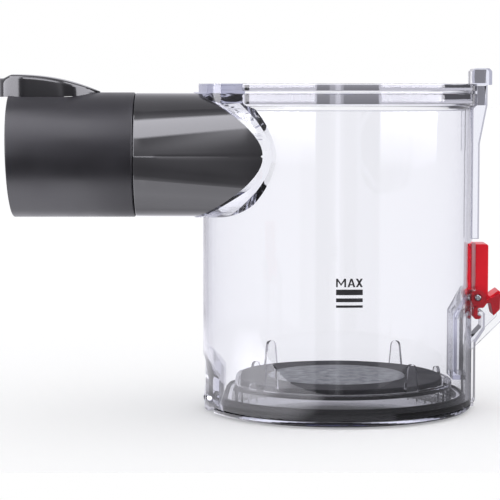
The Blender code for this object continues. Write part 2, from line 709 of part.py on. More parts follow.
def make_inlet_duct(material):
    duct = duct_tube("inlet_duct", DUCT_START, COLLAR_FLARE_END, DUCT_RADIUS)
    wall_side = turned("wall_side", [
        (BIN_RADIUS + GAP, BIN_BOTTOM), (BIN_RADIUS + GAP, RIM_BOTTOM - RIM_STEP / 2),
        (RIM_RADIUS + GAP, RIM_BOTTOM + RIM_STEP / 2), (RIM_RADIUS + GAP, BIN_TOP + PAST),
    ])
    cut(duct, saddle_cylinder("saddle", GAP), wall_side)
    rebate = SPIGOT_RADIUS + GAP
    collar_rebate = keep_inside(
        duct_tube("collar_rebate", COLLAR_START - 0.5 * PAST, COLLAR_FLARE_END + 0.5 * PAST, rebate),
        saddle_cylinder("rebate_limit", COLLAR_SPIGOT_LENGTH + GAP),
    )
    sleeve_rebate = duct_tube("sleeve_rebate", DUCT_START - PAST, DUCT_START + SPIGOT_LENGTH, rebate)
    bore = duct_tube("duct_bore", DUCT_START - PAST, 0.0, DUCT_BORE)
    cut(duct, collar_rebate, sleeve_rebate, bore)
    return finish(duct, material)


def button_half_width(x, margin=0.0):
    """Half the button's width at x: a blunt round nose, straight sides, then a pointed tail."""
    nose, tip = BUTTON_NOSE - margin, BUTTON_TIP + margin
    widest = BUTTON_HALF_WIDTH + margin
    if x <= BUTTON_NOSE_END:
        share = min(1.0, (BUTTON_NOSE_END - x) / (BUTTON_NOSE_END - nose))
        return widest * (1 - share ** NOSE_POWER) ** (1 / NOSE_POWER)
    share = min(1.0, max(0.0, x - BUTTON_TAIL_START) / (tip - BUTTON_TAIL_START))
    return widest * (1 - share ** TAIL_POWER)


def button_stations(low, high):
    """Places along the button, closer together at its round nose and pointed tail."""
    for i in range(BUTTON_STATIONS + 1):
        share = 0.5 - 0.5 * math.cos(math.pi * i / BUTTON_STATIONS)
        yield low + (high - low) * share


def button_bottom(x):
    tail = max(0.0, (x - BUTTON_PIVOT_X) / (BUTTON_TIP - BUTTON_PIVOT_X))
    return BUTTON_BOTTOM + BUTTON_TAIL_RISE * tail


def button_top(x):
    if x < BUTTON_CROWN_START:
        share = (BUTTON_CROWN_START - x) / (BUTTON_CROWN_START - BUTTON_NOSE)
        return BUTTON_CROWN - (BUTTON_CROWN - BUTTON_NOSE_TOP) * min(1.0, 1.6 * share)
    share = (x - BUTTON_CROWN_START) / (BUTTON_TIP - BUTTON_CROWN_START)
    return BUTTON_CROWN - BUTTON_CROWN_DROP * share ** BUTTON_CROWN_POWER


def button_section(x, inset=0.0):
    """A section across the button: flat underside, upright sides, rounded shoulders, soft crown."""
    half = max(0.0003, button_half_width(x) - inset)
    low = button_bottom(x) - (PAST if inset else 0.0)
    high = max(button_top(x) - inset, low + 0.0004)
    rise = high - low
    shoulder = min(BUTTON_SHOULDER, 0.35 * half, 0.35 * rise)
    side, edge = 0.985 * half, high - BUTTON_SHOULDER_DROP
    right = [
        (half, low), (half, high - 0.30 * rise - shoulder), (side, edge - shoulder),
        (side - 0.3 * shoulder, edge - 0.35 * shoulder), (side - shoulder, edge),
        (0.45 * half, high - BUTTON_CROWN_FALL), (0.0, high),
    ]
    left = [(-a, b) for a, b in reversed(right[:-1])]
    return [(x, DUCT_Y + a, b) for a, b in right + left]


def button_pocket():
    """The recess in the sleeve's top, shaped like the button, that its tail sinks into."""
    rows = []
    margin = BUTTON_POCKET_MARGIN
    past = SLEEVE_TOP + PAST
    floor_run = BUTTON_TIP - BUTTON_POCKET_LEVEL_END - BUTTON_PIVOT_X
    for x in button_stations(BUTTON_NOSE - margin + NOSE_FLAT, BUTTON_TIP + margin - TAIL_FLAT):
        half = button_half_width(x, margin)
        tail = min(1.0, max(0.0, (x - BUTTON_PIVOT_X) / floor_run))
        floor = BUTTON_LAND_Z + (BUTTON_POCKET_TAIL_Z - BUTTON_LAND_Z) * tail
        rows.append([(x, DUCT_Y + a, b) for a, b in (
            (half, floor), (half, past), (-half, past), (-half, floor))])
    return loft("button_pocket", rows)


def make_inlet_sleeve(material):
    shoulder = DUCT_START - GAP
    end = DUCT_START + SPIGOT_LENGTH - GAP
    edge, tilt = SLEEVE_EDGE, MOUTH_TILT
    sleeve = loft("inlet_sleeve", [
        duct_loop(SLEEVE_MOUTH, SLEEVE_RADIUS - edge, tilt=tilt),
        duct_loop(SLEEVE_MOUTH + edge * 0.3, SLEEVE_RADIUS - edge * 0.3, tilt=tilt),
        duct_loop(SLEEVE_MOUTH + edge, SLEEVE_RADIUS, tilt=tilt),
        duct_loop(shoulder - edge, SLEEVE_RADIUS),
        duct_loop(shoulder, SLEEVE_RADIUS - edge),
        duct_loop(shoulder, SPIGOT_RADIUS),
        duct_loop(end, SPIGOT_RADIUS),
        duct_loop(end, SLEEVE_STOP_BORE),
        duct_loop(SLEEVE_STOP, SLEEVE_STOP_BORE),
        duct_loop(SLEEVE_STOP, DUCT_BORE),
        duct_loop(SLEEVE_MOUTH + edge, DUCT_BORE, tilt=tilt),
        duct_loop(SLEEVE_MOUTH, DUCT_BORE + edge, tilt=tilt),
    ], ring=True)
    slot = extrude("nib_slot", rectangle(
        NIB_START - NIB_SLOT_MARGIN, DUCT_Y - NIB_HALF_WIDTH - RUNNING_GAP,
        NIB_END + NIB_SLOT_MARGIN, DUCT_Y + NIB_HALF_WIDTH + RUNNING_GAP),
        SLEEVE_TOP - PAST, SLEEVE_TOP + PAST, "Z")
    seat = turned("seat_flat", [
        (BUTTON_SPRING_SEAT_RADIUS, BUTTON_SPRING_SEAT_Z - GAP),
        (BUTTON_SPRING_SEAT_RADIUS, SLEEVE_TOP + PAST),
    ], facets=BOSS_FACETS, center=(BUTTON_SPRING_X, DUCT_Y))
    cut(sleeve, button_pocket(), slot, seat)
    ears = []
    for side in (-1, 1):
        outline = arc((BUTTON_PIVOT_X, BUTTON_PIVOT_Z), BUTTON_EAR_RADIUS, 0, 180, 10)
        outline += [(BUTTON_PIVOT_X - BUTTON_EAR_RADIUS, BUTTON_EAR_ROOTS[0]),
                    (BUTTON_PIVOT_X + BUTTON_EAR_RADIUS, BUTTON_EAR_ROOTS[1])]
        ears.append(extrude(f"ear_{side}", outline,
                            DUCT_Y + side * BUTTON_EAR_INNER, DUCT_Y + side * BUTTON_EAR_OUTER))
    add(sleeve, *ears)
    cut(sleeve, rod_y("pivot_hole", BUTTON_PIVOT_X, BUTTON_PIVOT_Z, BUTTON_PIN_RADIUS + GAP,
                      DUCT_Y - BUTTON_HALF_WIDTH - PAST, DUCT_Y + BUTTON_HALF_WIDTH + PAST))
    return finish(sleeve, material)


# ---------------------------------------------------------------- release button

def button_nib():
    """The catch under the button's nose, which drops into the tube through the sleeve's slot."""
    top = button_top(NIB_END) - 0.5 * BUTTON_WALL
    return extrude("nib", [
        (NIB_START, NIB_BOTTOM + NIB_CHAMFER[1]), (NIB_START + NIB_CHAMFER[0], NIB_BOTTOM),
        (NIB_END, NIB_BOTTOM), (NIB_END, top), (NIB_START, top),
    ], DUCT_Y - NIB_HALF_WIDTH, DUCT_Y + NIB_HALF_WIDTH)


def make_release_button(material):
    """A hollow rocker, crowned along its length, with sockets for its pin in its side walls."""
    outer = button_stations(BUTTON_NOSE + NOSE_FLAT, BUTTON_TIP - TAIL_FLAT)
    button = loft("release_button", [button_section(x) for x in outer])
    inner = button_stations(BUTTON_NOSE + BUTTON_NOSE_WALL, BUTTON_TIP - BUTTON_TAIL_WALL)
    cut(button, loft("button_hollow", [button_section(x, BUTTON_WALL) for x in inner]))
    triangulate(button)
    add(button, button_nib())
    socket = BUTTON_PIN_HALF_LENGTH + GAP
    cut(button, rod_y("pin_sockets", BUTTON_PIVOT_X, BUTTON_PIVOT_Z, BUTTON_PIN_RADIUS + GAP,
                      DUCT_Y - socket, DUCT_Y + socket))
    return finish(button, material)


# ---------------------------------------------------------------- base door

def seal_loop(inset, z):
    return chord_loop(SEAL_OUTER - inset, SEAL_CHORD - inset, z)


def make_door_lid(material):
    edge = DOOR_EDGE_ROUNDING
    top = DOOR_THICKNESS
    door = loft("door_lid", [
        circle_z(BIN_RADIUS - edge, 0.0),
        circle_z(BIN_RADIUS - 0.45 * edge, 0.15 * top),
        circle_z(BIN_RADIUS - 0.12 * edge, 0.50 * top),
        circle_z(BIN_RADIUS, top),
    ])
    past_edge = BIN_RADIUS + PAST
    chord = rectangle(-past_edge, -PAST, -DOOR_CHORD, PAST)
    cut(door, extrude("door_chord", chord, -past_edge, past_edge))
    shift = SEAL_OUTER - DOOR_RING_OUTER
    wall = DOOR_RING_OUTER - DOOR_RING_INNER
    ring = loft("door_ring", [
        seal_loop(shift, 0.5 * top), seal_loop(shift, DOOR_RING_TOP),
        seal_loop(shift + wall, DOOR_RING_TOP), seal_loop(shift + wall, 0.5 * top),
    ], ring=True)
    barrel = rod_y("barrel", HINGE_X, HINGE_Z, HINGE_BARREL_RADIUS,
                   -HINGE_BARREL_HALF_WIDTH, HINGE_BARREL_HALF_WIDTH, BOSS_FACETS)
    strap = extrude("strap", [
        (HINGE_STRAP_OUTER, HINGE_STRAP_CHAMFER), (HINGE_STRAP_OUTER + HINGE_STRAP_CHAMFER, 0.0),
        (HINGE_STRAP_ROOT, 0.0), (HINGE_STRAP_ROOT, top), (HINGE_RECESS_X - RUNNING_GAP, top),
        (HINGE_RECESS_X - RUNNING_GAP, HINGE_STRAP_TOP), (HINGE_STRAP_OUTER, HINGE_STRAP_TOP),
    ], -HINGE_BARREL_HALF_WIDTH, HINGE_BARREL_HALF_WIDTH)
    foot = extrude("tongue_foot", rectangle(TONGUE_FOOT_INNER, 0.4 * top, TONGUE_FOOT_OUTER, top),
                   -TONGUE_HALF_WIDTH, TONGUE_HALF_WIDTH)
    add(door, ring, barrel, strap, foot)
    cut(door, rod_y("barrel_hole", HINGE_X, HINGE_Z, HINGE_PIN_RADIUS + GAP,
                    -HINGE_PIN_HALF_LENGTH, HINGE_PIN_HALF_LENGTH))
    return finish(door, material)


def make_door_tongue(material):
    """The springy strip that rises from the lid's edge to a lip, which the latch's barb catches."""
    outline = [
        (TONGUE_INNER, BIN_BOTTOM), (TONGUE_FOOT_OUTER, BIN_BOTTOM),
        (TONGUE_OUTER, DOOR_THICKNESS + TONGUE_FOOT_TAPER), (TONGUE_OUTER, TONGUE_BEND_OUTER),
        (HOOK_PLATE_OUTER, HOOK_PLATE_BEND_OUTER), (HOOK_PLATE_OUTER, LIP_TOP - LIP_OUTER_CHAMFER),
        (HOOK_PLATE_OUTER - LIP_OUTER_CHAMFER, LIP_TOP), (LIP_INNER + LIP_CHAMFER, LIP_TOP),
        (LIP_INNER, LIP_TOP - LIP_CHAMFER), (LIP_INNER, LIP_BOTTOM), (HOOK_PLATE_INNER, LIP_BOTTOM),
        (HOOK_PLATE_INNER, HOOK_PLATE_BEND_INNER), (TONGUE_INNER, TONGUE_BEND_INNER),
    ]
    tongue = extrude("door_tongue", outline, -TONGUE_HALF_WIDTH, TONGUE_HALF_WIDTH)
    return finish(tongue, material)


def make_door_seal(material):
    """A ring of rubber with two lips that press outwards on the bin's wall."""
    inner = SEAL_OUTER - DOOR_RING_OUTER - GAP
    groove = SEAL_LIP_DEPTH
    height = SEAL_TOP - BIN_BOTTOM
    profile = [
        (inner, 0.0), (groove - 0.0001, 0.0), (0.0, 0.10), (0.0, 0.30), (groove, 0.42), (0.0, 0.56),
        (0.0, 0.76), (groove, 0.88), (groove + 0.0001, 1.0), (inner, 1.0),
    ]
    loops = [seal_loop(inset, BIN_BOTTOM + share * height) for inset, share in profile]
    seal = loft("door_seal", loops, ring=True)
    return finish(seal, material)


# ---------------------------------------------------------------- fin plate and pad

def fin(name, angle, top):
    """An upright tab on the plate's rim with a round top and tapering sides."""
    base, tip = FIN_WIDTH / 2, FIN_TIP_WIDTH / 2
    crown = arc((0.0, top - tip), tip, 0, 180, 8)
    root = PLATE_DECK_TOP - FIN_ROOT
    outline = [(base, root)] + crown + [(-base, root)]
    body = extrude(name, outline, PLATE_RADIUS - FIN_THICKNESS, PLATE_RADIUS - FIN_INSET, "X")
    if abs(angle) > 90:
        share = abs(math.cos(math.radians(angle)))
        reach = min(1.0, (PLATE_CHORD - FIN_CHORD_INSET) / (PLATE_RADIUS * share))
        body.data.transform(Matrix.Translation((PLATE_RADIUS * (reach - 1.0), 0.0, 0.0)))
    body.data.transform(Matrix.Rotation(math.radians(angle), 4, "Z"))
    return body


def make_fin_plate(material):
    wall, deck = PLATE_WALL, PLATE_DECK_TOP - PLATE_DECK
    edge, inner_edge = PLATE_EDGE, 0.75 * PLATE_EDGE

    def loop(inset, z):
        return chord_loop(PLATE_RADIUS - inset, PLATE_CHORD - inset, z)

    plate = loft("fin_plate", [
        loop(0.0, BIN_BOTTOM), loop(0.0, PLATE_TOP - edge), loop(edge, PLATE_TOP),
        loop(wall - inner_edge, PLATE_TOP), loop(wall, PLATE_TOP - inner_edge), loop(wall, PLATE_DECK_TOP),
    ])
    hollow = loft("plate_hollow", [loop(wall, BIN_BOTTOM - PAST), loop(wall, deck)])
    fins = [fin(f"tall_fin_{i}", angle, TALL_FIN_TOP) for i, angle in enumerate(TALL_FIN_ANGLES)]
    fins += [fin(f"short_fin_{i}", angle, SHORT_FIN_TOP) for i, angle in enumerate(SHORT_FIN_ANGLES)]
    cut(plate, hollow)
    add(plate, *fins)
    return finish(plate, material)


def make_door_pad(material):
    low, edge = PLATE_DECK_TOP + GAP, PAD_CHAMFER

    def loop(inset, z):
        return chord_loop(PAD_RADIUS - inset, PAD_CHORD - inset, z)

    pad = loft("door_pad", [
        loop(0.0, low), loop(0.0, PAD_TOP - edge), loop(0.3 * edge, PAD_TOP - 0.3 * edge),
        loop(edge, PAD_TOP),
    ])
    recess = INSERT_RADIUS + GAP
    profile = [(recess, PAD_TOP - INSERT_RECESS), (recess, PAD_TOP + PAST)]
    cut(pad, turned("insert_recess", profile, facets=INSERT_FACETS))
    return finish(pad, material)


def make_pad_insert(material):
    low = PAD_TOP - INSERT_RECESS + GAP
    rise = INSERT_CROWN - INSERT_EDGE
    profile = [(INSERT_RADIUS, low), (INSERT_RADIUS, INSERT_EDGE - INSERT_CHAMFER)]
    for share in (0.985, 0.85, 0.65, 0.40, 0.15):
        profile.append((INSERT_RADIUS * share, INSERT_EDGE + rise * (1 - share * share)))
    return finish(turned("pad_insert", profile, facets=INSERT_FACETS), material)


# ---------------------------------------------------------------- latch

def make_latch_lever(material):
    """A rocker: a bar that the cleaner's body pushes, a thumb tab, and a finger with a barb."""
    chamfer = LEVER_CHAMFER
    outline = [
        (LEVER_BAR_INNER, LEVER_TOP), (LEVER_BAR_INNER, LATCH_Z + LATCH_HUB_RADIUS),
        *arc((LATCH_X, LATCH_Z), LATCH_HUB_RADIUS, 110, 205, 7),
        (LATCH_FINGER_INNER, FINGER_TOP), (LATCH_FINGER_INNER, BARB_BOTTOM + BARB_SLOPE),
        (LATCH_FINGER_INNER + chamfer, BARB_BOTTOM), (BARB_OUTER - BARB_SLOPE, BARB_BOTTOM),
        (BARB_OUTER, BARB_BOTTOM + chamfer), (BARB_OUTER, BARB_TOP), (BARB_NECK, BARB_TOP),
        (BARB_NECK, LEVER_BAR_BOTTOM - NECK_FILLET), (BARB_NECK + NECK_FILLET, LEVER_BAR_BOTTOM),
        (LEVER_BAR_FOOT, LEVER_BAR_BOTTOM),
    ]
    outline += [(LATCH_X + across, LATCH_Z + up) for across, up in reversed(TAB_OUTLINE)]
    outline += [(LEVER_BAR_OUTER, LEVER_TOP - chamfer), (LEVER_BAR_OUTER - chamfer, LEVER_TOP)]
    lever = extrude("latch_lever", outline, -LATCH_HALF_WIDTH, LATCH_HALF_WIDTH)
    hole_radius = LATCH_PIN_RADIUS + GAP
    cut(lever, rod_y("lever_hole", LATCH_X, LATCH_Z, hole_radius, -CHEEK_OUTER, CHEEK_OUTER))
    return finish(bevel(lever, LATCH_EDGE, 1), material)


# ---------------------------------------------------------------- pins and springs

def make_pin(name, x, z, radius, start, end, material):
    """A plain pin along Y with chamfered ends."""
    chamfer = 0.2 * radius
    step = 2 * math.pi / PIN_FACETS

    def ring(r, y):
        return [(x + r * math.cos(i * step), y, z + r * math.sin(i * step)) for i in range(PIN_FACETS)]

    pin = loft(name, [
        ring(radius - chamfer, start), ring(radius, start + chamfer),
        ring(radius, end - chamfer), ring(radius - chamfer, end),
    ])
    return finish(pin, material)


def make_springs(material):
    wire = BUTTON_SPRING_WIRE
    top = button_top(BUTTON_SPRING_X + BUTTON_SPRING_RADIUS + wire) - BUTTON_WALL - BUTTON_CROWN_MARGIN
    points = coil_points((BUTTON_SPRING_X, DUCT_Y), "Z", BUTTON_SPRING_RADIUS,
                         BUTTON_SPRING_SEAT_Z + wire, top - GAP - wire, BUTTON_SPRING_TURNS)
    make_spring("button_spring", points, wire, material)
    wire = LATCH_SPRING_WIRE
    points = coil_points((0.0, 0.0, LATCH_SPRING_Z), "X", LATCH_SPRING_RADIUS,
                         LATCH_SPRING_SEAT_X + GAP + wire, LATCH_FINGER_INNER - GAP - wire,
                         LATCH_SPRING_TURNS)
    make_spring("latch_spring", points, wire, material)


def main():
    for obj in list(bpy.data.objects):
        bpy.data.objects.remove(obj, do_unlink=True)
    materials = make_materials()
    make_bin_shell(materials["clear"])
    make_inlet_duct(materials["gloss_dark"])
    make_inlet_sleeve(materials["matte_dark"])
    button = make_release_button(materials["gloss_dark"])
    door = make_door_lid(materials["clear"])
    tongue = make_door_tongue(materials["clear"])
    seal = make_door_seal(materials["rubber"])
    plate = make_fin_plate(materials["clear"])
    pad = make_door_pad(materials["pad"])
    insert = make_pad_insert(materials["insert"])
    lever = make_latch_lever(materials["red"])
    make_pin("door_hinge_pin", HINGE_X, HINGE_Z, HINGE_PIN_RADIUS,
             -HINGE_PIN_HALF_LENGTH, HINGE_PIN_HALF_LENGTH, materials["steel"])
    make_pin("latch_pin", LATCH_X, LATCH_Z, LATCH_PIN_RADIUS, -CHEEK_OUTER, CHEEK_OUTER,
             materials["steel"])
    make_pin("button_pin", BUTTON_PIVOT_X, BUTTON_PIVOT_Z, BUTTON_PIN_RADIUS,
             DUCT_Y - BUTTON_PIN_HALF_LENGTH, DUCT_Y + BUTTON_PIN_HALF_LENGTH, materials["steel"])
    make_springs(materials["steel"])
    hang_on(make_axis("door_hinge_axis", (HINGE_X, 0.0, HINGE_Z)), door, tongue, seal, plate, pad,
            insert)
    move_origin(lever, (LATCH_X, 0.0, LATCH_Z))
    move_origin(button, (BUTTON_PIVOT_X, DUCT_Y, BUTTON_PIVOT_Z))


main()
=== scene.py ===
"""Looks of a cordless vacuum cleaner's clear dust bin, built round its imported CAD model. Metres, +Z up."""
import math

import bmesh
import bpy
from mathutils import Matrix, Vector


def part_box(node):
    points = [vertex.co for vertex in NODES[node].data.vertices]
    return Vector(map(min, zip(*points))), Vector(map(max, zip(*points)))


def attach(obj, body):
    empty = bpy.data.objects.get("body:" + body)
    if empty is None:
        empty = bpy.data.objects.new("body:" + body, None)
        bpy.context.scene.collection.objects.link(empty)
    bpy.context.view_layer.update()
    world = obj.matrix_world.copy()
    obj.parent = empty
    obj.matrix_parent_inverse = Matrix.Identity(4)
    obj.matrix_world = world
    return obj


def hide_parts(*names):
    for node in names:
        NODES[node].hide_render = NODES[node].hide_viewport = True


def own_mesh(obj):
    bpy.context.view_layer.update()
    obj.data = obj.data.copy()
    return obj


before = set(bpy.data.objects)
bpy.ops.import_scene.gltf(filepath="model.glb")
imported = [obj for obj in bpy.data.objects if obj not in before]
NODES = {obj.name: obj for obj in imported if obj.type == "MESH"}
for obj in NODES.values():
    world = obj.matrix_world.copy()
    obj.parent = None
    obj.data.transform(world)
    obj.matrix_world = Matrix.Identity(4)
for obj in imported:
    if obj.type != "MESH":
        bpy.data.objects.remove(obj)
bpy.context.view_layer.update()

# Camera
CAMERA_AT = (-0.0384, -0.855, 0.1377)
CAMERA_TARGET = (-0.0384, 0.0, 0.0693)
LENS = 140.4
SENSOR = 36.0
CLIP = (0.01, 20.0)

# The studio that reflections see, fixed in the world. A zone is measured by azimuth from the -Y side, in
# degrees, or by how far its direction leans along X. Then come its low and high ends, the softness of its
# sides, and pairs of elevation and radiance, set to match the photo's highlights. Later zones lie
# over earlier ones. Everything else is at TENT, and so is all that is seen straight and all diffuse light.
# What clear plastic reflects inside itself is at most INSIDE_PEAK.
TENT = 1.0
PEAK = 12.0
INSIDE_PEAK = 0.60
STUDIO_TINT = (0.965, 0.955, 1.03)
STUDIO = [
    ("azimuth", -95, 95, 1.0, [(-2, 1.0), (0, 9.0), (72, 9.0), (84, 1.0)]),
    ("azimuth", 95, 145, 1.0, [(-60, 1.0), (-55, 0.1), (45, 0.1), (50, 1.0)]),
    ("azimuth", -21, 33, 1.0, [(-60, 2.8), (-56, 0.4), (-40, 0.3), (-25, 0.24), (-9, 0.17), (4, 0.3),
                               (20, 0.6), (35, 0.85), (48, 1.05), (62, 0.95), (72, 0.8), (90, 0.3)]),
    ("lean", -0.160, 0.040, 0.004, [(-50, 2.5), (-37, 0.6), (-24, 0.45), (-9, 0.35), (4, 0.45), (20, 0.9),
                                    (30, 1.3), (34, 9.5), (66, 10.8), (71, 2.0), (80, 0.85), (90, 0.3)]),
    ("lean", -0.066, -0.012, 0.016, [(-50, 2.5), (-37, 0.75), (-24, 0.5), (-9, 0.85), (4, 1.6), (20, 3.2),
                                     (30, 4.6), (34, 9.5), (66, 10.8), (71, 2.0), (80, 0.85), (90, 0.3)]),
]

# The floor. FLOOR_GLOW lifts it where it is seen straight.
FLOOR_SIZE = 40.0
FLOOR_FRONT = -0.150
FLOOR_LEVEL = -0.0005
FLOOR_COLOR = (0.85, 0.85, 0.86, 1.0)
FLOOR_ROUGHNESS = 0.9
FLOOR_GLOW = 0.16

# The floor in reflections, by place, set to match the photo's highlights: bright under the sleeve and
# the duct, less so behind them, dark elsewhere near, and at TENT far off. Pairs are where a change starts
# and ends: along X at the two ENDs, along Y at BRIGHT_TO, and by distance from the origin at FAR.
FLOOR_UNDER_SLEEVE = 6.0
FLOOR_UNDER_DUCT = 3.3
FLOOR_DARK = 0.3
FLOOR_BEHIND = 0.25
FLOOR_SLEEVE_END = (-0.110, -0.096)
FLOOR_DUCT_END = (-0.050, -0.025)
FLOOR_BRIGHT_TO = (-0.070, 0.020)
FLOOR_FAR = (0.22, 0.40)

# Clear plastic, and how densely it absorbs in the bin and in the door's thinner parts
CLEAR_TINT = (0.99, 0.99, 0.998, 1.0)
CLEAR_IOR = 1.49
CLEAR_SHADOW = (0.94, 0.94, 0.95, 1.0)
CLEAR_ABSORBS = (0.76, 0.78, 0.945, 1.0)
BIN_DENSITY = 45.0
DOOR_DENSITY = 9.0

# Opaque plastics: colour, roughness, variation, scale and depth of the grain, specular level
PLASTICS = {
    "mark_ink": ((0.006, 0.006, 0.007), 0.45, 0.10, 900.0, 0.000002, 0.3),
    "gloss_dark_plastic": ((0.0220, 0.0212, 0.0245), 0.06, 0.10, 300.0, 0.000004, 0.5),
    "matte_dark_plastic": ((0.0140, 0.0134, 0.0165), 0.36, 0.10, 2500.0, 0.00001, 0.25),
    "button_plastic": ((0.0140, 0.0134, 0.0158), 0.12, 0.10, 600.0, 0.000006, 0.5),
    "red_plastic": ((0.72, 0.008, 0.022), 0.35, 0.06, 900.0, 0.00003, 0.2),
    "seal_rubber": ((0.008, 0.008, 0.009), 0.5, 0.15, 1500.0, 0.000003, 0.10),
    "pad_rubber": ((0.018, 0.018, 0.021), 0.55, 0.15, 1200.0, 0.00002, 0.15),
}

# Facets of the fine meshes
FINE = 256
DUCT_FINE = 160
ROUND_STEPS = 3

# Sizes that the frame gives
SHELL_LOW, SHELL_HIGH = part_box("bin_shell")
DUCT_LOW, DUCT_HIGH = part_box("inlet_duct")
RIM_RADIUS = SHELL_HIGH.y
SHELL_BOTTOM = SHELL_LOW.z
DUCT_RADIUS = 0.5 * (DUCT_HIGH.z - DUCT_LOW.z)
DUCT_Y = DUCT_LOW.y + DUCT_RADIUS
DUCT_Z = 0.5 * (DUCT_HIGH.z + DUCT_LOW.z)

# Bin shell, as the CAD has it apart from the rim's ridges and the saddle
WALL_RADIUS = RIM_RADIUS - 0.0015
WALL = 0.0022
BORE = WALL_RADIUS - WALL
TOP = 0.1420
RIM_BOTTOM = 0.1314
RIM_STEP = 0.0014
GROOVE_LOW = 0.1377
GROOVE_HIGH = 0.1390
GROOVE_DEPTH = 0.0007
SEAT_WIDTH = 0.0011
LEAD_IN = (0.0011, 0.0026)
DUCT_BORE = 0.0230
COLLAR_RADIUS = DUCT_RADIUS + 0.0005
COLLAR_FLARE = 0.0012
FLARE_X = (-0.0370, -0.0250)
COLLAR_BEND = -0.0270
COLLAR_INNER = -0.0190
COLLAR_SPIGOT_LENGTH = 0.0050
CUT = 0.0100

# The cylinder that cuts the visible joint between duct and collar, fitted to the photo. The CAD's is another.
SADDLE_AT = (-0.0296, -0.0186)
SADDLE_RADIUS = 0.0329
SADDLE_SPAN = (0.05, 0.17)

# Room past the duct's end, where the collar isn't held to the saddle: low and high corners in X and Y
PAST_DUCT = (-0.0333, -0.0700, 0.0200, 0.0200)

# Block between collar and rim: low and high corners in X and Y
FAIRING = (-0.0600, -0.0440, -0.0300, -0.0080)
FAIRING_BOTTOM = 0.1180
FAIRING_INSET = 0.00002

# Rear hook, latch pocket and hinge: half widths, and pivots and radii of their holes
STEM_HALF = 0.0045
HOOK_HALF = 0.0080
CORE_BACK = 0.0090
GUARD_Y = (0.0078, 0.0100)
LUG_RADIUS = 0.0035
LATCH_AXIS = (0.0610, 0.0492)
LATCH_HOLE = 0.0015
LATCH_HOUSING_HALF = 0.0100
TONGUE_GROOVE_HALF = 0.0064
HINGE_AXIS = (-0.0558, 0.0062)
HINGE_HOLE = 0.00155
HINGE_HOUSING_X = -0.0504
HINGE_HOUSING_HALF = 0.0350
HINGE_RECESS_HALF = 0.0121
BUTTON_HOLE = 0.0014
RIB_HALF = 0.0010

# Seat of the latch's spring in the pocket
SPRING_SEAT_AT = (0.0, 0.0416)
SPRING_SEAT_RADIUS = 0.0026
SPRING_SEAT_X = (0.0512, 0.0538)

# Two ridges inside the rim, each with sides at 45 degrees, which turn light back like a prism
RIDGES = [(0.1336, 0.1377), (0.1393, 0.1414)]

# Hollows behind the hook and its stem: (low X, high X, low Z, high Z, front of their ridge)
HOOK_CORES = [(0.0608, 0.0643, 0.1328, 0.1412, -0.0038), (0.0590, 0.0640, 0.1424, 0.1483, -0.0070)]

# Spring wire, as the CAD has it, and each coil: node, axis (0 for X, 2 for Z), joint, and what of its length
# is left at the joint's limit
SPRING_WIRE = 0.00022
SPRING_TURNS = 4
SPRING_STEPS = 24
SPRING_SIDES = 8
SPRINGS = [
    ("latch_coil", "latch_spring", 0, "latch_pivot", 0.60),
    ("button_coil", "button_spring", 2, "button_pivot", 0.72),
]

# Wear rings on the door's pad: their centre, wander and spacing, and the dust's dark and pale colours
WEAR_AT = (0.0080, -0.0060)
WEAR_WANDER = 0.020
WEAR_RINGS = 800.0
WEAR_DARK = (0.20, 0.205, 0.225)
WEAR_PALE = (0.46, 0.47, 0.50)

# Generic fill mark on the bin's front: (foot, top, stroke) of the letters, (foot, top) of each bar, and each
# letter's (place from the left, width)
MARK_LEFT = -0.0031
MARK_RIGHT = 0.0079
MARK_LETTERS = (0.0587, 0.0622, 0.00072)
MARK_BARS = [(0.0554, 0.0577), (0.0525, 0.0541), (0.0502, 0.0512)]
MARK_M = (0.0, 0.0041)
MARK_A = (0.0047, 0.0032)
MARK_X = (0.0081, 0.0029)
MARK_DEEP = (-0.0620, -0.0570)
INK_GAP = 0.00001
INK = 0.00005

# Angles round the duct, with the mould line's three points at its front and back
SEAM_TURN = 0.0080
DUCT_TURNS = sorted([2 * math.pi * i / DUCT_FINE for i in range(DUCT_FINE)]
                    + [math.pi * k + side * SEAM_TURN for k in (0, 1) for side in (-1, 1)])

# Inlet duct and sleeve, as the CAD has them apart from the flattening below
GAP = 0.0003
SPIGOT_RADIUS = DUCT_BORE + 0.0013
SLEEVE_RADIUS = DUCT_RADIUS + 0.0003
SLEEVE_TOP = DUCT_Z + SLEEVE_RADIUS
SLEEVE_MOUTH = DUCT_LOW.x - 0.0528
SLEEVE_STOP = SLEEVE_MOUTH + 0.0215
STOP_STEP = 0.0015
SLEEVE_EDGE = 0.0007
MOUTH_TILT = math.radians(1.5)
SPIGOT_END = DUCT_LOW.x + 0.0080
SEAM_DEPTH = 0.00009
END_ROUNDING = 0.0003

# The visible duct's front flattens from the sleeve to the lip, and the collar's until FLAT_BACK. The CAD's
# duct is round.
FLAT_POWER = 2.6
FLAT_START = DUCT_LOW.x + 0.0020
FLAT_END = -0.0400
FLAT_BACK = (-0.0370, -0.0260)

# Release button: along X from the sleeve's mouth, and up from the sleeve's top
BUTTON_NOSE = SLEEVE_MOUTH - 0.0050
BUTTON_TIP = SLEEVE_MOUTH + 0.0380
BUTTON_NOSE_END = SLEEVE_MOUTH + 0.0075
BUTTON_TAIL_START = SLEEVE_MOUTH + 0.0195
BUTTON_HALF_WIDTH = 0.0094
BUTTON_WALL = 0.0017
BUTTON_NOSE_WALL = 1.2 * BUTTON_WALL
BUTTON_TAIL_WALL = 4.7 * BUTTON_WALL
BUTTON_BOTTOM = SLEEVE_TOP - 0.0019
BUTTON_LAND = SLEEVE_TOP - 0.0020
BUTTON_CROWN_START = SLEEVE_MOUTH + 0.0004
BUTTON_CROWN = SLEEVE_TOP + 0.0076
BUTTON_STATIONS = 64
BUTTON_EDGE = 0.0022

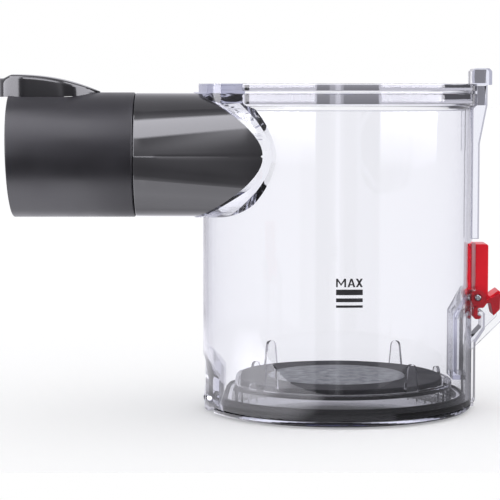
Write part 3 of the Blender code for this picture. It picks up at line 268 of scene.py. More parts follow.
# Its outline's roundness at the nose and tail, and how its underside and crown leave their level
NOSE_POWER = 2.4
TAIL_POWER = 3
TAIL_LIFT = 0.0009
NOSE_DROP = 0.0016
NOSE_DROP_RATE = 1.6
CROWN_DROP = 0.0074
CROWN_POWER = 2.3

# Its catch, pin, and spring seat, and the ears that hold it
NIB_HALF = 0.0026
PIN_HALF = 0.0083
EAR_Y = (0.0048, 0.0062)
EAR_RADIUS = 0.0022
BUTTON_SEAT_X = SLEEVE_MOUTH + 0.0265
BUTTON_SEAT_RADIUS = 0.0027
BUTTON_SEAT_Z = SLEEVE_TOP - 0.0034
PIVOT = (SLEEVE_MOUTH + 0.0195, SLEEVE_TOP + 0.0013)


# ---------------------------------------------------------------- mesh helpers

def new_object(name, mesh):
    piece = bpy.data.objects.new(name, mesh)
    bpy.context.scene.collection.objects.link(piece)
    return piece


def from_bmesh(name, bm):
    bmesh.ops.recalc_face_normals(bm, faces=bm.faces)
    mesh = bpy.data.meshes.new(name)
    bm.to_mesh(mesh)
    bm.free()
    return new_object(name, mesh)


def loft(name, loops, ring=False):
    """A skin through loops with equal point counts, capped at both ends or closed into a ring."""
    bm = bmesh.new()
    rows = [[bm.verts.new(point) for point in loop] for loop in loops]
    pairs = list(zip(rows, rows[1:])) + ([(rows[-1], rows[0])] if ring else [])
    count = len(rows[0])
    for lower, upper in pairs:
        for i in range(count):
            j = (i + 1) % count
            bm.faces.new((lower[i], lower[j], upper[j], upper[i]))
    if not ring:
        bm.faces.new(rows[0])
        bm.faces.new(rows[-1])
    return from_bmesh(name, bm)


def prism(name, outline, start, end, axis="Y"):
    """The outline is in the plane across the axis: XZ for Y, XY for Z and YZ for X."""
    place = {
        "Y": lambda a, b, level: (a, level, b),
        "Z": lambda a, b, level: (a, b, level),
        "X": lambda a, b, level: (level, a, b),
    }[axis]
    return loft(name, [[place(a, b, level) for a, b in outline] for level in (start, end)])


def rectangle(low_a, low_b, high_a, high_b):
    return [(low_a, low_b), (high_a, low_b), (high_a, high_b), (low_a, high_b)]


def arc(center, radius, start, end, steps):
    turn = [math.radians(start + (end - start) * i / steps) for i in range(steps + 1)]
    return [(center[0] + radius * math.cos(t), center[1] + radius * math.sin(t)) for t in turn]


def rounded(points, radius, closed=True, steps=ROUND_STEPS):
    """The outline with each corner replaced by a short curve, at most half of either side long."""
    result = []
    count = len(points)
    for i, corner in enumerate(points):
        if not closed and i in (0, count - 1):
            result.append(corner)
            continue
        here = Vector(corner)
        sides = [Vector(points[i - 1]) - here, Vector(points[(i + 1) % count]) - here]
        ends = [here + side.normalized() * min(radius, 0.5 * side.length) for side in sides]
        for k in range(steps + 1):
            t = k / steps
            spot = ends[0] * (1 - t) ** 2 + here * (2 * t * (1 - t)) + ends[1] * t * t
            result.append(tuple(spot))
    return result


def circle(radius, z, center=(0.0, 0.0), facets=FINE):
    return [(center[0] + radius * math.cos(2 * math.pi * i / facets),
             center[1] + radius * math.sin(2 * math.pi * i / facets), z) for i in range(facets)]


def turned(name, profile, ring=False, facets=FINE, center=(0.0, 0.0)):
    return loft(name, [circle(r, z, center, facets) for r, z in profile], ring)


def duct_loop(x, radius, side=0.0, tilt=0.0, seam=0.0, flat=0.0):
    """A section across the duct's axis. side widens it along Y, tilt leans its plane, seam cuts its mould
    line, and flat, up to 1, squares its front half."""
    points = []
    for turn in DUCT_TURNS:
        depth = seam if abs(math.sin(turn)) < 1e-6 else 0.0
        y, z = math.cos(turn), math.sin(turn)
        if y < 0:
            square = [math.copysign(abs(v) ** (2 / FLAT_POWER), v) for v in (y, z)]
            y, z = y + flat * (square[0] - y), z + flat * (square[1] - z)
        z *= radius - depth
        points.append((x - z * math.tan(tilt), DUCT_Y + (radius - depth + side) * y, DUCT_Z + z))
    return points


def duct_flatness(x, back=None):
    """How far the front has flattened: none at the sleeve, most at the lip, and none after back, where
    given."""
    share = (x - FLAT_START) / (FLAT_END - FLAT_START)
    if back:
        share = min(share, (back[1] - x) / (back[1] - back[0]))
    return max(0.0, min(share, 1.0))


def duct_run(start, end, radius, step=0.0020, back=None, **more):
    count = max(1, round((end - start) / step))
    places = [start + (end - start) * i / count for i in range(count + 1)]
    return [duct_loop(x, radius, flat=duct_flatness(x, back), **more) for x in places]


def duct_tube(name, start, end, radius):
    return loft(name, [duct_loop(start, radius), duct_loop(end, radius)])


def rod_y(name, x, z, radius, start, end, facets=48):
    return prism(name, arc((x, z), radius, 0, 360 - 360 / facets, facets - 1), start, end)


def combine(piece, operation, others):
    for other in others:
        modifier = piece.modifiers.new(other.name, "BOOLEAN")
        modifier.object = other
        modifier.operation = operation
        modifier.solver = "EXACT"
    settle(piece)
    for other in others:
        bpy.data.objects.remove(other, do_unlink=True)
    return piece


def settle(piece):
    graph = bpy.context.evaluated_depsgraph_get()
    mesh = bpy.data.meshes.new_from_object(piece.evaluated_get(graph))
    piece.modifiers.clear()
    piece.data = mesh


def add(piece, *others):
    return combine(piece, "UNION", others)


def cut(piece, *others):
    return combine(piece, "DIFFERENCE", others)


def keep_inside(piece, other):
    return combine(piece, "INTERSECT", [other])


def finish_mesh(piece, material, body, sharp=12.0):
    bm = bmesh.new()
    bm.from_mesh(piece.data)
    bmesh.ops.remove_doubles(bm, verts=bm.verts, dist=1e-6)
    bm.to_mesh(piece.data)
    bm.free()
    piece.data.materials.clear()
    piece.data.materials.append(material)
    piece.data.shade_smooth()
    piece.data.set_sharp_from_angle(angle=math.radians(sharp))
    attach(piece, body)
    return piece


# ---------------------------------------------------------------- node helpers

def new_material(name):
    material = bpy.data.materials.new(name)
    material.use_nodes = True
    return material, material.node_tree.nodes, material.node_tree.links


def wear(node_names, material):
    for name in node_names:
        slots = NODES[name].data.materials
        slots.clear()
        slots.append(material)


def math_node(nodes, links, operation, *values):
    node = nodes.new("ShaderNodeMath")
    node.operation = operation
    for socket, value in zip(node.inputs, values):
        if isinstance(value, bpy.types.NodeSocket):
            links.new(value, socket)
        else:
            socket.default_value = value
    return node.outputs[0]


def noise(nodes, links, vector, scale, detail=3.0, roughness=0.5):
    node = nodes.new("ShaderNodeTexNoise")
    node.inputs["Scale"].default_value = scale
    node.inputs["Detail"].default_value = detail
    node.inputs["Roughness"].default_value = roughness
    links.new(vector, node.inputs["Vector"])
    return node.outputs["Fac"]


def remap(nodes, links, value, low, high, to_low, to_high):
    node = nodes.new("ShaderNodeMapRange")
    links.new(value, node.inputs["Value"])
    for key, number in (("From Min", low), ("From Max", high), ("To Min", to_low), ("To Max", to_high)):
        node.inputs[key].default_value = number
    return node.outputs["Result"]


def ramp(nodes, links, value, stops):
    node = nodes.new("ShaderNodeValToRGB")
    elements = node.color_ramp.elements
    while len(elements) < len(stops):
        elements.new(0.5)
    for element, (place, color) in zip(elements, stops):
        element.position = place
        element.color = (*color, 1.0)
    links.new(value, node.inputs["Fac"])
    return node.outputs["Color"]


def bump(nodes, links, height, strength, distance):
    node = nodes.new("ShaderNodeBump")
    node.inputs["Strength"].default_value = strength
    node.inputs["Distance"].default_value = distance
    links.new(height, node.inputs["Height"])
    return node.outputs["Normal"]


def position(nodes):
    return nodes.new("ShaderNodeTexCoord").outputs["Object"]


# ---------------------------------------------------------------- materials

def clear_plastic(name, density):
    """Clear moulding: faintly violet, with slow thickness waves. Shadow rays pass it, so what is inside
    is lit."""
    material, nodes, links = new_material(name)
    shader = nodes["Principled BSDF"]
    shader.inputs["Base Color"].default_value = CLEAR_TINT
    shader.inputs["Roughness"].default_value = 0.0
    shader.inputs["IOR"].default_value = CLEAR_IOR
    shader.inputs["Transmission Weight"].default_value = 1.0
    waves = noise(nodes, links, position(nodes), 40.0, 1.0)
    links.new(bump(nodes, links, waves, 0.2, 0.0003), shader.inputs["Normal"])
    light_through = nodes.new("ShaderNodeBsdfTransparent")
    light_through.inputs["Color"].default_value = CLEAR_SHADOW
    path = nodes.new("ShaderNodeLightPath")
    mix = nodes.new("ShaderNodeMixShader")
    links.new(path.outputs["Is Shadow Ray"], mix.inputs["Fac"])
    links.new(shader.outputs["BSDF"], mix.inputs[1])
    links.new(light_through.outputs["BSDF"], mix.inputs[2])
    links.new(mix.outputs["Shader"], nodes["Material Output"].inputs["Surface"])
    body = nodes.new("ShaderNodeVolumeAbsorption")
    body.inputs["Color"].default_value = CLEAR_ABSORBS
    body.inputs["Density"].default_value = density
    links.new(body.outputs["Volume"], nodes["Material Output"].inputs["Volume"])
    return material


def plastic(name):
    """Opaque moulded plastic with faint mottling in its colour and gloss, and a fine skin."""
    color, roughness, variation, grain_scale, grain_depth, specular = PLASTICS[name]
    material, nodes, links = new_material(name)
    shader = nodes["Principled BSDF"]
    place = position(nodes)
    mottle = noise(nodes, links, place, 60.0)
    darker = tuple(c * (1 - variation) for c in color)
    lighter = tuple(min(1.0, c * (1 + variation)) for c in color)
    links.new(ramp(nodes, links, mottle, [(0.3, darker), (0.7, lighter)]), shader.inputs["Base Color"])
    links.new(remap(nodes, links, mottle, 0.3, 0.7, roughness * 0.85, roughness * 1.15),
              shader.inputs["Roughness"])
    shader.inputs["Specular IOR Level"].default_value = specular
    grain = noise(nodes, links, place, grain_scale, 2.0)
    links.new(bump(nodes, links, grain, 0.5, grain_depth), shader.inputs["Normal"])
    return material


def worn_insert():
    """A filter pad gone pale with dust, in uneven rings that its turning has left."""
    material, nodes, links = new_material("pad_insert")
    shader = nodes["Principled BSDF"]
    place = position(nodes)
    parts = nodes.new("ShaderNodeSeparateXYZ")
    links.new(place, parts.inputs[0])
    x = math_node(nodes, links, "SUBTRACT", parts.outputs["X"], WEAR_AT[0])
    y = math_node(nodes, links, "SUBTRACT", parts.outputs["Y"], WEAR_AT[1])
    squares = [math_node(nodes, links, "MULTIPLY", v, v) for v in (x, y)]
    reach = math_node(nodes, links, "SQRT", math_node(nodes, links, "ADD", *squares))
    drift = noise(nodes, links, place, 45.0, 3.0)
    wander = math_node(nodes, links, "MULTIPLY_ADD", drift, WEAR_WANDER, reach)
    rings = math_node(nodes, links, "SINE", math_node(nodes, links, "MULTIPLY", wander, WEAR_RINGS))
    dust = noise(nodes, links, place, 260.0, 5.0, 0.6)
    shade = math_node(nodes, links, "MULTIPLY_ADD", rings, 0.05, dust)
    links.new(ramp(nodes, links, shade, [(0.25, WEAR_DARK), (0.75, WEAR_PALE)]),
              shader.inputs["Base Color"])
    shader.inputs["Roughness"].default_value = 0.8
    shader.inputs["Specular IOR Level"].default_value = 0.15
    grain = noise(nodes, links, place, 2500.0, 2.0)
    links.new(bump(nodes, links, grain, 0.5, 0.00003), shader.inputs["Normal"])
    return material


def steel():
    material, nodes, links = new_material("drawn_steel")
    shader = nodes["Principled BSDF"]
    shader.inputs["Metallic"].default_value = 1.0
    place = position(nodes)
    streaks = noise(nodes, links, place, 900.0, 2.0)
    links.new(ramp(nodes, links, streaks, [(0.3, (0.50, 0.50, 0.52)), (0.7, (0.68, 0.68, 0.70))]),
              shader.inputs["Base Color"])
    links.new(remap(nodes, links, streaks, 0.3, 0.7, 0.22, 0.34), shader.inputs["Roughness"])
    return material


# ---------------------------------------------------------------- bin shell

def shell_body():
    groove = RIM_RADIUS - GROOVE_DEPTH
    edge = 0.0003
    rim = rounded([
        (WALL_RADIUS, RIM_BOTTOM - 0.001), (WALL_RADIUS, RIM_BOTTOM), (RIM_RADIUS, RIM_BOTTOM + RIM_STEP),
        (RIM_RADIUS, GROOVE_LOW), (groove, GROOVE_LOW), (groove, GROOVE_HIGH), (RIM_RADIUS, GROOVE_HIGH),
        (RIM_RADIUS, TOP), (RIM_RADIUS - 0.001, TOP),
    ], edge, closed=False)
    low = [(WALL_RADIUS - 0.001, SHELL_BOTTOM), (WALL_RADIUS - edge, SHELL_BOTTOM),
           (WALL_RADIUS, SHELL_BOTTOM + edge)]
    return turned("clear_bin", low + rim)


def saddle_cylinder(name, extra=0.0):
    radius = SADDLE_RADIUS + extra
    return turned(name, [(radius, z) for z in SADDLE_SPAN], center=SADDLE_AT)


def collar():
    start = SADDLE_AT[0] - SADDLE_RADIUS - CUT
    body = loft("collar", [
        *duct_run(start, FLARE_X[0], COLLAR_RADIUS, back=FLAT_BACK),
        *duct_run(FLARE_X[0] + 0.001, COLLAR_BEND, COLLAR_RADIUS, back=FLAT_BACK),
        duct_loop(FLARE_X[1], COLLAR_RADIUS, side=COLLAR_FLARE),
        duct_loop(COLLAR_INNER, COLLAR_RADIUS, side=COLLAR_FLARE),
    ])
    past_duct = prism("past_duct", rectangle(*PAST_DUCT), *SADDLE_SPAN, "Z")
    return keep_inside(body, add(saddle_cylinder("collar_limit"), past_duct))


def collar_spigot():
    body = duct_tube("collar_spigot", -0.075, -0.030, SPIGOT_RADIUS)
    return keep_inside(body, saddle_cylinder("spigot_limit", COLLAR_SPIGOT_LENGTH))


def fairing():
    body = prism("fairing", rectangle(*FAIRING), FAIRING_BOTTOM, TOP, "Z")
    return keep_inside(body, saddle_cylinder("fairing_limit", -FAIRING_INSET))


def rear_hook():
    stem = prism("spine", [
        (0.0580, 0.0745), (0.0617, 0.0745), (0.0617, 0.1160), (0.0649, 0.1328), (0.0649, TOP + 0.0003),
        (0.0592, TOP + 0.0003), (0.0580, RIM_BOTTOM)], -STEM_HALF, STEM_HALF)
    cap = prism("hook_cap", rounded([
        (0.0578, TOP - 0.0004), (0.0664, TOP - 0.0004), (0.0664, 0.1476), (0.0652, SHELL_HIGH.z),
        (0.0590, SHELL_HIGH.z), (0.0578, 0.1476)], 0.0004), -HOOK_HALF, HOOK_HALF)
    return [stem, cap]


def hook_cores():
    """Hollows open to the back. Their fronts are ridges at 45 degrees, which turn light back."""
    cores = []
    for low_x, high_x, low_z, high_z, front in HOOK_CORES:
        half = 0.5 * (high_z - low_z)
        outline = [(front, low_z), (front + half, low_z + half), (front, high_z),
                   (CORE_BACK, high_z), (CORE_BACK, low_z)]
        cores.append(prism("hook_core", outline, low_x, high_x, "X"))
    return cores


def guards():
    plates = []
    outline = rounded([(0.0570, 0.0434), (0.0712, 0.0518), (0.0712, 0.0392), (0.0570, 0.0252)], 0.0004)
    lug = arc(LATCH_AXIS, LUG_RADIUS, -60, 120, 24) + [(0.0570, 0.0532), (0.0570, 0.0447)]
    for side in (-1, 1):
        near, far = side * GUARD_Y[0], side * GUARD_Y[1]
        plates.append(prism(f"guard_{side}", outline, near, far))
        plates.append(prism(f"lug_{side}", lug, near, far))
    return plates


def cavity():
    seat = BORE + SEAT_WIDTH
    ridges = []
    for low, high in RIDGES:
        valley = BORE + 0.5 * (high - low)
        ridges += [(BORE, low), (valley, low), (BORE, 0.5 * (low + high)), (valley, high)]
    space = turned("cavity", [
        (BORE + LEAD_IN[0], -0.01), (BORE + LEAD_IN[0], SHELL_BOTTOM), (BORE, SHELL_BOTTOM + LEAD_IN[1]),
        *ridges[:4], (BORE, RIDGES[0][1]), *ridges[4:], (seat, TOP + 0.01)])
    inner = HINGE_HOUSING_X
    hinge_housing = prism("hinge_housing", [
        (-0.07, -0.02), (inner - LEAD_IN[0], -0.02), (inner - LEAD_IN[0], SHELL_BOTTOM),
        (inner, SHELL_BOTTOM + LEAD_IN[1]), (inner, 0.0160), (-BORE - 0.0002, 0.0266), (-0.07, 0.0266),
    ], -HINGE_HOUSING_HALF, HINGE_HOUSING_HALF)
    latch_housing = prism("latch_housing", [
        (0.0500, 0.0133), (0.07, 0.0133), (0.07, 0.0530), (0.0566, 0.0530), (0.0500, 0.0420),
    ], -LATCH_HOUSING_HALF, LATCH_HOUSING_HALF)
    rib = prism("guide_rib", rectangle(BORE - 0.0022, 0.1130, 0.07, 0.1310), -RIB_HALF, RIB_HALF)
    return cut(space, hinge_housing, latch_housing, rib)


def shell_cutters():
    hinge_recess = prism("hinge_recess", [
        (-0.08, -0.01), (-0.0524, -0.01), (-0.0524, 0.0140), (-WALL_RADIUS - 0.0002, 0.0246),
        (-0.08, 0.0246)], -HINGE_RECESS_HALF, HINGE_RECESS_HALF)
    # The pocket's roof rises outward, as its housing's does
    low_roof, slope = 0.0410, 0.0110 / 0.0066
    roof = low_roof + slope * 0.0120
    latch_pocket = prism("latch_pocket", [
        (0.0520, 0.0153), (0.08, 0.0153), (0.08, roof), (0.0640, roof), (0.0520, low_roof),
    ], -GUARD_Y[0], GUARD_Y[0])
    groove = prism("tongue_groove", rectangle(0.0581, -0.01, 0.07, 0.0260),
                   -TONGUE_GROOVE_HALF, TONGUE_GROOVE_HALF)
    return [
        hinge_recess, latch_pocket, groove,
        rod_y("hinge_hole", *HINGE_AXIS, HINGE_HOLE, -0.03, 0.03),
        rod_y("latch_hole", *LATCH_AXIS, LATCH_HOLE, -0.02, 0.02),
        duct_tube("inlet_bore", -0.085, -0.024, DUCT_BORE),
        *hook_cores(),
    ]


def make_clear_bin(material):
    shell = shell_body()
    add(shell, collar(), collar_spigot(), fairing(), *rear_hook(), *guards())
    cut(shell, cavity(), *shell_cutters())
    seat = prism("spring_seat", arc(SPRING_SEAT_AT, SPRING_SEAT_RADIUS, 0, 352.5, 47), *SPRING_SEAT_X, "X")
    add(shell, seat)
    finish_mesh(shell, material, "bin")
    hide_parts("bin_shell")


def mark_strokes():
    """Outlines of a generic MAX fill mark and its three bars, in X and Z on the bin's front."""
    low, high, stroke = MARK_LETTERS
    tall = high - low

    def place(left, wide, points):
        return [(left + a * wide, low + b * tall) for a, b in points]

    strokes = []
    left, wide = MARK_LEFT + MARK_M[0], MARK_M[1]
    t = stroke / wide
    strokes.append(place(left, wide, [
        (0, 0), (t, 0), (t, 0.68), (0.5, 0.14), (1 - t, 0.68), (1 - t, 0), (1, 0), (1, 1), (1 - 1.05 * t, 1),
        (0.5, 0.40), (1.05 * t, 1), (0, 1)]))
    left, wide = MARK_LEFT + MARK_A[0], MARK_A[1]
    t = stroke / wide
    strokes.append(place(left, wide, [(0, 0), (1.15 * t, 0), (0.5, 0.76), (1 - 1.15 * t, 0), (1, 0),
                                      (0.5 + 0.6 * t, 1), (0.5 - 0.6 * t, 1)]))
    strokes.append(place(left, wide, rectangle(0.2, 0.22, 0.8, 0.35)))
    left, wide = MARK_LEFT + MARK_X[0], MARK_X[1]
    t = 1.25 * stroke / wide
    strokes.append(place(left, wide, [(0, 0), (t, 0), (1, 1), (1 - t, 1)]))
    strokes.append(place(left, wide, [(0, 1), (t, 1), (1, 0), (1 - t, 0)]))
    strokes += [rectangle(MARK_LEFT, bottom, MARK_RIGHT, top) for bottom, top in MARK_BARS]
    return strokes


def make_fill_mark(material):
    """The ink follows the wall: flat strokes, cut by a thin layer just outside it."""
    pieces = [prism(f"stroke_{i}", outline, *MARK_DEEP) for i, outline in enumerate(mark_strokes())]
    mark = add(pieces[0], *pieces[1:])
    near, far = WALL_RADIUS + INK_GAP, WALL_RADIUS + INK_GAP + INK
    low, high = MARK_BARS[-1][0] - 0.001, MARK_LETTERS[1] + 0.001
    keep_inside(mark, turned("ink_layer", [(near, low), (far, low), (far, high), (near, high)], ring=True))
    mark.name = "fill_mark"
    finish_mesh(mark, material, "bin")


# ---------------------------------------------------------------- inlet duct, sleeve and button

def make_inlet_duct(material):
    start, edge = DUCT_LOW.x, END_ROUNDING
    duct = loft("gloss_duct", [
        duct_loop(start, DUCT_RADIUS - edge), duct_loop(start + 0.3 * edge, DUCT_RADIUS - 0.3 * edge),
        duct_loop(start + edge, DUCT_RADIUS),
        *duct_run(start + edge + 0.0001, -0.0130, DUCT_RADIUS, seam=SEAM_DEPTH)])
    wall_side = turned("wall_side", [
        (WALL_RADIUS + GAP, SHELL_BOTTOM), (WALL_RADIUS + GAP, RIM_BOTTOM - 0.0007),
        (RIM_RADIUS + GAP, RIM_BOTTOM + 0.0007), (RIM_RADIUS + GAP, TOP + CUT)])
    cut(duct, saddle_cylinder("saddle", GAP), wall_side)
    rebate = SPIGOT_RADIUS + GAP
    collar_rebate = keep_inside(duct_tube("collar_rebate", -0.080, -0.008, rebate),
                                saddle_cylinder("rebate_limit", COLLAR_SPIGOT_LENGTH + GAP))
    cut(duct, collar_rebate, duct_tube("sleeve_rebate", start - CUT, SPIGOT_END, rebate),
        duct_tube("duct_bore", start - CUT, 0.0, DUCT_BORE))
    finish_mesh(duct, material, "bin", sharp=18.0)
    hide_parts("inlet_duct")


def button_half_width(x, margin=0.0):
    """Half the button's width at x: a blunt round nose, straight sides, then a pointed tail."""
    nose, tip = BUTTON_NOSE - margin, BUTTON_TIP + margin
    widest = BUTTON_HALF_WIDTH + margin
    if x <= BUTTON_NOSE_END:
        share = min(1.0, (BUTTON_NOSE_END - x) / (BUTTON_NOSE_END - nose))
        return widest * (1 - share ** NOSE_POWER) ** (1 / NOSE_POWER)
    share = min(1.0, max(0.0, x - BUTTON_TAIL_START) / (tip - BUTTON_TAIL_START))
    return widest * (1 - share ** TAIL_POWER)


def button_stations(low, high, count=BUTTON_STATIONS):
    """Places along the button, closer together at its round nose and pointed tail."""
    return [low + (high - low) * (0.5 - 0.5 * math.cos(math.pi * i / count)) for i in range(count + 1)]


def button_bottom(x):
    return BUTTON_BOTTOM + TAIL_LIFT * max(0.0, (x - PIVOT[0]) / (BUTTON_TIP - PIVOT[0]))


def button_top(x):
    if x < BUTTON_CROWN_START:
        share = (BUTTON_CROWN_START - x) / (BUTTON_CROWN_START - BUTTON_NOSE)
        return BUTTON_CROWN - NOSE_DROP * min(1.0, NOSE_DROP_RATE * share)
    share = (x - BUTTON_CROWN_START) / (BUTTON_TIP - BUTTON_CROWN_START)
    return BUTTON_CROWN - CROWN_DROP * share ** CROWN_POWER


def button_section(x, inset=0.0):
    """A section across the button: flat underside, upright sides, rounded shoulders, soft crown."""
    half = max(0.0003, button_half_width(x) - inset)
    low = button_bottom(x) - (CUT if inset else 0.0)
    high = max(button_top(x) - inset, low + 0.0004)
    shoulder = min(BUTTON_EDGE, 0.45 * half, 0.45 * (high - low))
    outline = rounded([(half, low), (0.985 * half, high - 0.0003), (0.0, high + 0.0001),
                       (-0.985 * half, high - 0.0003), (-half, low)], shoulder, closed=False, steps=6)
    return [(x, DUCT_Y + a, b) for a, b in outline]


def make_release_button(material):
    """A hollow rocker, crowned along its length, with a catch under its nose and sockets for its pin."""
    button = loft("rocker", [button_section(x) for x in button_stations(BUTTON_NOSE + 0.00015,
                                                                        BUTTON_TIP - 0.0004)])
    inner = button_stations(BUTTON_NOSE + BUTTON_NOSE_WALL, BUTTON_TIP - BUTTON_TAIL_WALL, 24)
    cut(button, loft("rocker_hollow", [button_section(x, BUTTON_WALL) for x in inner]))
    start, end, bottom = SLEEVE_MOUTH + 0.0029, SLEEVE_MOUTH + 0.0059, SLEEVE_TOP - 0.0047
    top = button_top(end) - 0.5 * BUTTON_WALL
    add(button, prism("nib", [(start, bottom + 0.0006), (start + 0.0008, bottom), (end, bottom),
                              (end, top), (start, top)], DUCT_Y - NIB_HALF, DUCT_Y + NIB_HALF))
    cut(button, rod_y("pin_sockets", *PIVOT, BUTTON_HOLE, DUCT_Y - PIN_HALF, DUCT_Y + PIN_HALF))
    finish_mesh(button, material, "button")
    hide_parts("release_button")


def button_pocket():
    """The recess in the sleeve's top, shaped like the button, that its tail sinks into."""
    rows, margin, land = [], 0.0005, BUTTON_LAND
    floor_run = BUTTON_TIP - 0.0030 - PIVOT[0]
    for x in button_stations(BUTTON_NOSE - margin + 0.00015, BUTTON_TIP + margin - 0.0004, 36):
        half = button_half_width(x, margin)
        floor = land - 0.0015 * min(1.0, max(0.0, (x - PIVOT[0]) / floor_run))
        rows.append([(x, DUCT_Y + a, b) for a, b in rectangle(-half, floor, half, SLEEVE_TOP + CUT)])
    return loft("button_pocket", rows)


def make_inlet_sleeve(material):
    shoulder, end, edge = DUCT_LOW.x - GAP, SPIGOT_END - GAP, SLEEVE_EDGE
    stop_bore = DUCT_BORE - STOP_STEP
    mouth = [(edge * (1 - math.cos(t)), edge * (1 - math.sin(t)))
             for t in (math.radians(90 * i / 5) for i in range(6))]
    loops = [duct_loop(SLEEVE_MOUTH + along, SLEEVE_RADIUS - inward, tilt=MOUTH_TILT)
             for along, inward in mouth]
    loops += [duct_loop(shoulder - along, SLEEVE_RADIUS - inward) for along, inward in reversed(mouth)]
    loops += [
        duct_loop(shoulder, SPIGOT_RADIUS - GAP), duct_loop(end, SPIGOT_RADIUS - GAP),
        duct_loop(end, stop_bore), duct_loop(SLEEVE_STOP, stop_bore), duct_loop(SLEEVE_STOP, DUCT_BORE),
        duct_loop(SLEEVE_MOUTH + edge, DUCT_BORE, tilt=MOUTH_TILT),
        duct_loop(SLEEVE_MOUTH, DUCT_BORE + edge, tilt=MOUTH_TILT)]
    sleeve = loft("matte_sleeve", loops, ring=True)
    slot = prism("nib_slot", rectangle(SLEEVE_MOUTH + 0.0020, DUCT_Y - 0.0030, SLEEVE_MOUTH + 0.0068,
                                       DUCT_Y + 0.0030), SLEEVE_TOP - CUT, SLEEVE_TOP + CUT, "Z")
    seat = turned("seat_flat", [(BUTTON_SEAT_RADIUS, BUTTON_SEAT_Z), (BUTTON_SEAT_RADIUS, SLEEVE_TOP + CUT)],
                  center=(BUTTON_SEAT_X, DUCT_Y), facets=48)
    cut(sleeve, button_pocket(), slot, seat)
    land, ear = BUTTON_LAND, EAR_RADIUS
    outline = arc(PIVOT, ear, 0, 180, 24) + [(PIVOT[0] - ear, land - 0.0006), (PIVOT[0] + ear, land - 0.0008)]
    add(sleeve, *[prism(f"ear_{side}", outline, DUCT_Y + side * EAR_Y[0], DUCT_Y + side * EAR_Y[1])
                  for side in (-1, 1)])
    cut(sleeve, rod_y("pivot_hole", *PIVOT, BUTTON_HOLE, DUCT_Y - 0.02, DUCT_Y + 0.02))
    finish_mesh(sleeve, material, "bin")
    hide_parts("inlet_sleeve")


# ---------------------------------------------------------------- springs

def coil(name, node, axis):
    """A wound wire in the node's box, along the axis given as 0 for X or 2 for Z."""
    low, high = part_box(node)
    across = [k for k in range(3) if k != axis]
    middle = [0.5 * (low[k] + high[k]) for k in range(3)]
    radius = 0.25 * sum(high[k] - low[k] for k in across) - SPRING_WIRE
    start, end = low[axis] + SPRING_WIRE, high[axis] - SPRING_WIRE
    count = SPRING_STEPS * SPRING_TURNS
    loops = []
    for i in range(count + 1):
        share = i / count
        turn = 2 * math.pi * SPRING_TURNS * share
        loop = []
        for k in range(SPRING_SIDES):
            side = 2 * math.pi * k / SPRING_SIDES
            out = radius + SPRING_WIRE * math.cos(side)
            point = list(middle)
            point[across[0]] += out * math.cos(turn)
            point[across[1]] += out * math.sin(turn)
            point[axis] = start + (end - start) * share + SPRING_WIRE * math.sin(side)
            loop.append(tuple(point))
        loops.append(loop)
    return loft(name, loops)


def make_springs(material):
    """Each spring as a fixed wound coil in its node's box, on the bin."""
    for name, node, axis, joint, keep in SPRINGS:
        spring = coil(name, node, axis)
        finish_mesh(spring, material, "bin", sharp=60.0)
        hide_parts(node)
        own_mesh(spring)


# ---------------------------------------------------------------- studio

def make_world():
    """A white tent whose walls, softbox and dark gaps show in reflections only."""
    world = bpy.data.worlds.new("tent")
    bpy.context.scene.world = world
    world.use_nodes = True
    nodes, links = world.node_tree.nodes, world.node_tree.links
    direction = nodes.new("ShaderNodeSeparateXYZ")
    links.new(nodes.new("ShaderNodeTexCoord").outputs["Generated"], direction.inputs[0])
    x, y, z = (direction.outputs[axis] for axis in "XYZ")
    azimuth = math_node(nodes, links, "ARCTAN2", x, math_node(nodes, links, "MULTIPLY", y, -1.0))
    elevation = math_node(nodes, links, "ARCSINE", z)
    height = remap(nodes, links, elevation, -0.5 * math.pi, 0.5 * math.pi, 0.0, 1.0)
    front = math_node(nodes, links, "LESS_THAN", y, 0.0)
    level = TENT
    for measure, low, high, soft, profile in STUDIO:
        if measure == "azimuth":
            value, low, high, soft = azimuth, math.radians(low), math.radians(high), math.radians(soft)
        else:
            value = x
        rise = remap(nodes, links, value, low - soft, low + soft, 0.0, 1.0)
        fall = remap(nodes, links, value, high - soft, high + soft, 1.0, 0.0)
        zone = math_node(nodes, links, "MULTIPLY", rise, fall)
        if measure == "lean":
            zone = math_node(nodes, links, "MULTIPLY", zone, front)
        stops = [((angle + 90) / 180, (radiance / PEAK,) * 3) for angle, radiance in profile]
        here = math_node(nodes, links, "MULTIPLY", ramp(nodes, links, height, stops), PEAK)
        change = math_node(nodes, links, "SUBTRACT", here, level)
        level = math_node(nodes, links, "MULTIPLY_ADD", zone, change, level)
    reflected, most = in_reflection(nodes, links)
    level = math_node(nodes, links, "MINIMUM", level, most)
    shown = math_node(nodes, links, "SUBTRACT", level, TENT)
    strength = math_node(nodes, links, "MULTIPLY_ADD", reflected, shown, TENT)
    tint = nodes.new("ShaderNodeMix")
    tint.data_type = "RGBA"
    tint.inputs["A"].default_value = (1.0, 1.0, 1.0, 1.0)
    tint.inputs["B"].default_value = (*STUDIO_TINT, 1.0)
    links.new(reflected, tint.inputs["Factor"])
    background = nodes["Background"]
    links.new(tint.outputs["Result"], background.inputs["Color"])
    links.new(strength, background.inputs["Strength"])


def in_reflection(nodes, links):
    """1 on a path that a glossy surface has turned and 0 on any other, and the most radiance that it sees."""
    path = nodes.new("ShaderNodeLightPath")
    reflected = math_node(nodes, links, "GREATER_THAN", path.outputs["Glossy Depth"], 0.5)
    outside = math_node(nodes, links, "LESS_THAN", path.outputs["Transmission Depth"], 0.5)
    return reflected, math_node(nodes, links, "MULTIPLY_ADD", outside, PEAK, INSIDE_PEAK)


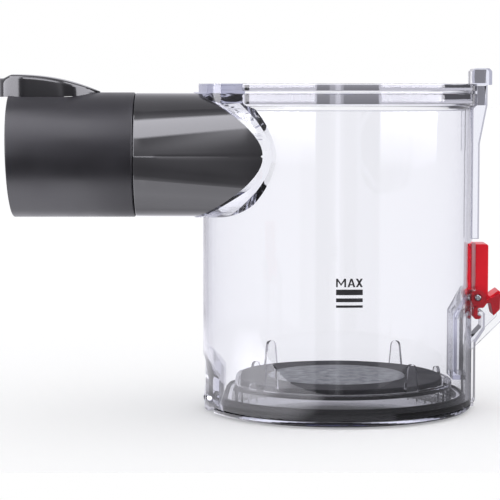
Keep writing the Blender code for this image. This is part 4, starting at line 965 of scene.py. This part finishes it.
def make_floor():
    """A pale floor, with its own levels where a reflection sees it."""
    bpy.ops.mesh.primitive_plane_add(
        size=FLOOR_SIZE, location=(0, FLOOR_FRONT + 0.5 * FLOOR_SIZE, FLOOR_LEVEL))
    floor = bpy.context.object
    floor.name = "floor"
    material, nodes, links = new_material("floor")
    shader = nodes["Principled BSDF"]
    shader.inputs["Base Color"].default_value = FLOOR_COLOR
    shader.inputs["Roughness"].default_value = FLOOR_ROUGHNESS
    shader.inputs["Specular IOR Level"].default_value = 0.0
    glow = nodes.new("ShaderNodeEmission")
    glow.inputs["Strength"].default_value = FLOOR_GLOW
    seen = nodes.new("ShaderNodeAddShader")
    links.new(shader.outputs["BSDF"], seen.inputs[0])
    links.new(glow.outputs["Emission"], seen.inputs[1])
    reflected, most = in_reflection(nodes, links)
    bright = nodes.new("ShaderNodeEmission")
    bright.inputs["Color"].default_value = (*STUDIO_TINT, 1.0)
    place = nodes.new("ShaderNodeNewGeometry").outputs["Position"]
    parts = nodes.new("ShaderNodeSeparateXYZ")
    links.new(place, parts.inputs[0])
    back = remap(nodes, links, parts.outputs["Y"], *FLOOR_BRIGHT_TO, 1.0, FLOOR_BEHIND)
    below_duct = remap(nodes, links, parts.outputs["X"], *FLOOR_DUCT_END, FLOOR_UNDER_DUCT - FLOOR_DARK, 0.0)
    below_duct = math_node(nodes, links, "MULTIPLY_ADD", below_duct, back, FLOOR_DARK)
    below_sleeve = remap(nodes, links, back, 0.0, 1.0, FLOOR_DARK, FLOOR_UNDER_SLEEVE)
    share = remap(nodes, links, parts.outputs["X"], *FLOOR_SLEEVE_END, 1.0, 0.0)
    change = math_node(nodes, links, "SUBTRACT", below_sleeve, below_duct)
    near = math_node(nodes, links, "MULTIPLY_ADD", share, change, below_duct)
    reach = nodes.new("ShaderNodeVectorMath")
    reach.operation = "LENGTH"
    links.new(place, reach.inputs[0])
    far = remap(nodes, links, reach.outputs["Value"], *FLOOR_FAR, 0.0, 1.0)
    change = math_node(nodes, links, "SUBTRACT", TENT, near)
    level = math_node(nodes, links, "MULTIPLY_ADD", far, change, near)
    links.new(math_node(nodes, links, "MINIMUM", level, most), bright.inputs["Strength"])
    mix = nodes.new("ShaderNodeMixShader")
    links.new(reflected, mix.inputs["Fac"])
    links.new(seen.outputs["Shader"], mix.inputs[1])
    links.new(bright.outputs["Emission"], mix.inputs[2])
    links.new(mix.outputs["Shader"], nodes["Material Output"].inputs["Surface"])
    floor.data.materials.append(material)


def make_camera():
    data = bpy.data.cameras.new("camera")
    data.lens = LENS
    data.sensor_width = SENSOR
    camera = bpy.data.objects.new("camera", data)
    camera.location = CAMERA_AT
    aim = Vector(CAMERA_TARGET) - Vector(CAMERA_AT)
    camera.rotation_euler = aim.to_track_quat("-Z", "Y").to_euler()
    data.clip_start, data.clip_end = CLIP
    bpy.context.scene.collection.objects.link(camera)
    bpy.context.scene.camera = camera


def main():
    clear = clear_plastic("clear_plastic", BIN_DENSITY)
    make_clear_bin(clear)
    make_fill_mark(plastic("mark_ink"))
    wear(["bin_shell"], clear)
    wear(["door_lid", "door_tongue", "fin_plate"], clear_plastic("clear_door", DOOR_DENSITY))
    gloss, matte = plastic("gloss_dark_plastic"), plastic("matte_dark_plastic")
    satin = plastic("button_plastic")
    make_inlet_duct(gloss)
    make_inlet_sleeve(matte)
    make_release_button(satin)
    wear(["inlet_duct"], gloss)
    wear(["inlet_sleeve"], matte)
    wear(["release_button"], satin)
    wear(["latch_lever"], plastic("red_plastic"))
    wear(["door_seal"], plastic("seal_rubber"))
    wear(["door_pad"], plastic("pad_rubber"))
    wear(["pad_insert"], worn_insert())
    metal = steel()
    wear(["button_pin", "door_hinge_pin", "latch_pin", "button_spring", "latch_spring"], metal)
    make_springs(metal)
    make_world()
    make_floor()
    make_camera()
    bpy.context.scene.view_settings.view_transform = "Standard"


main()
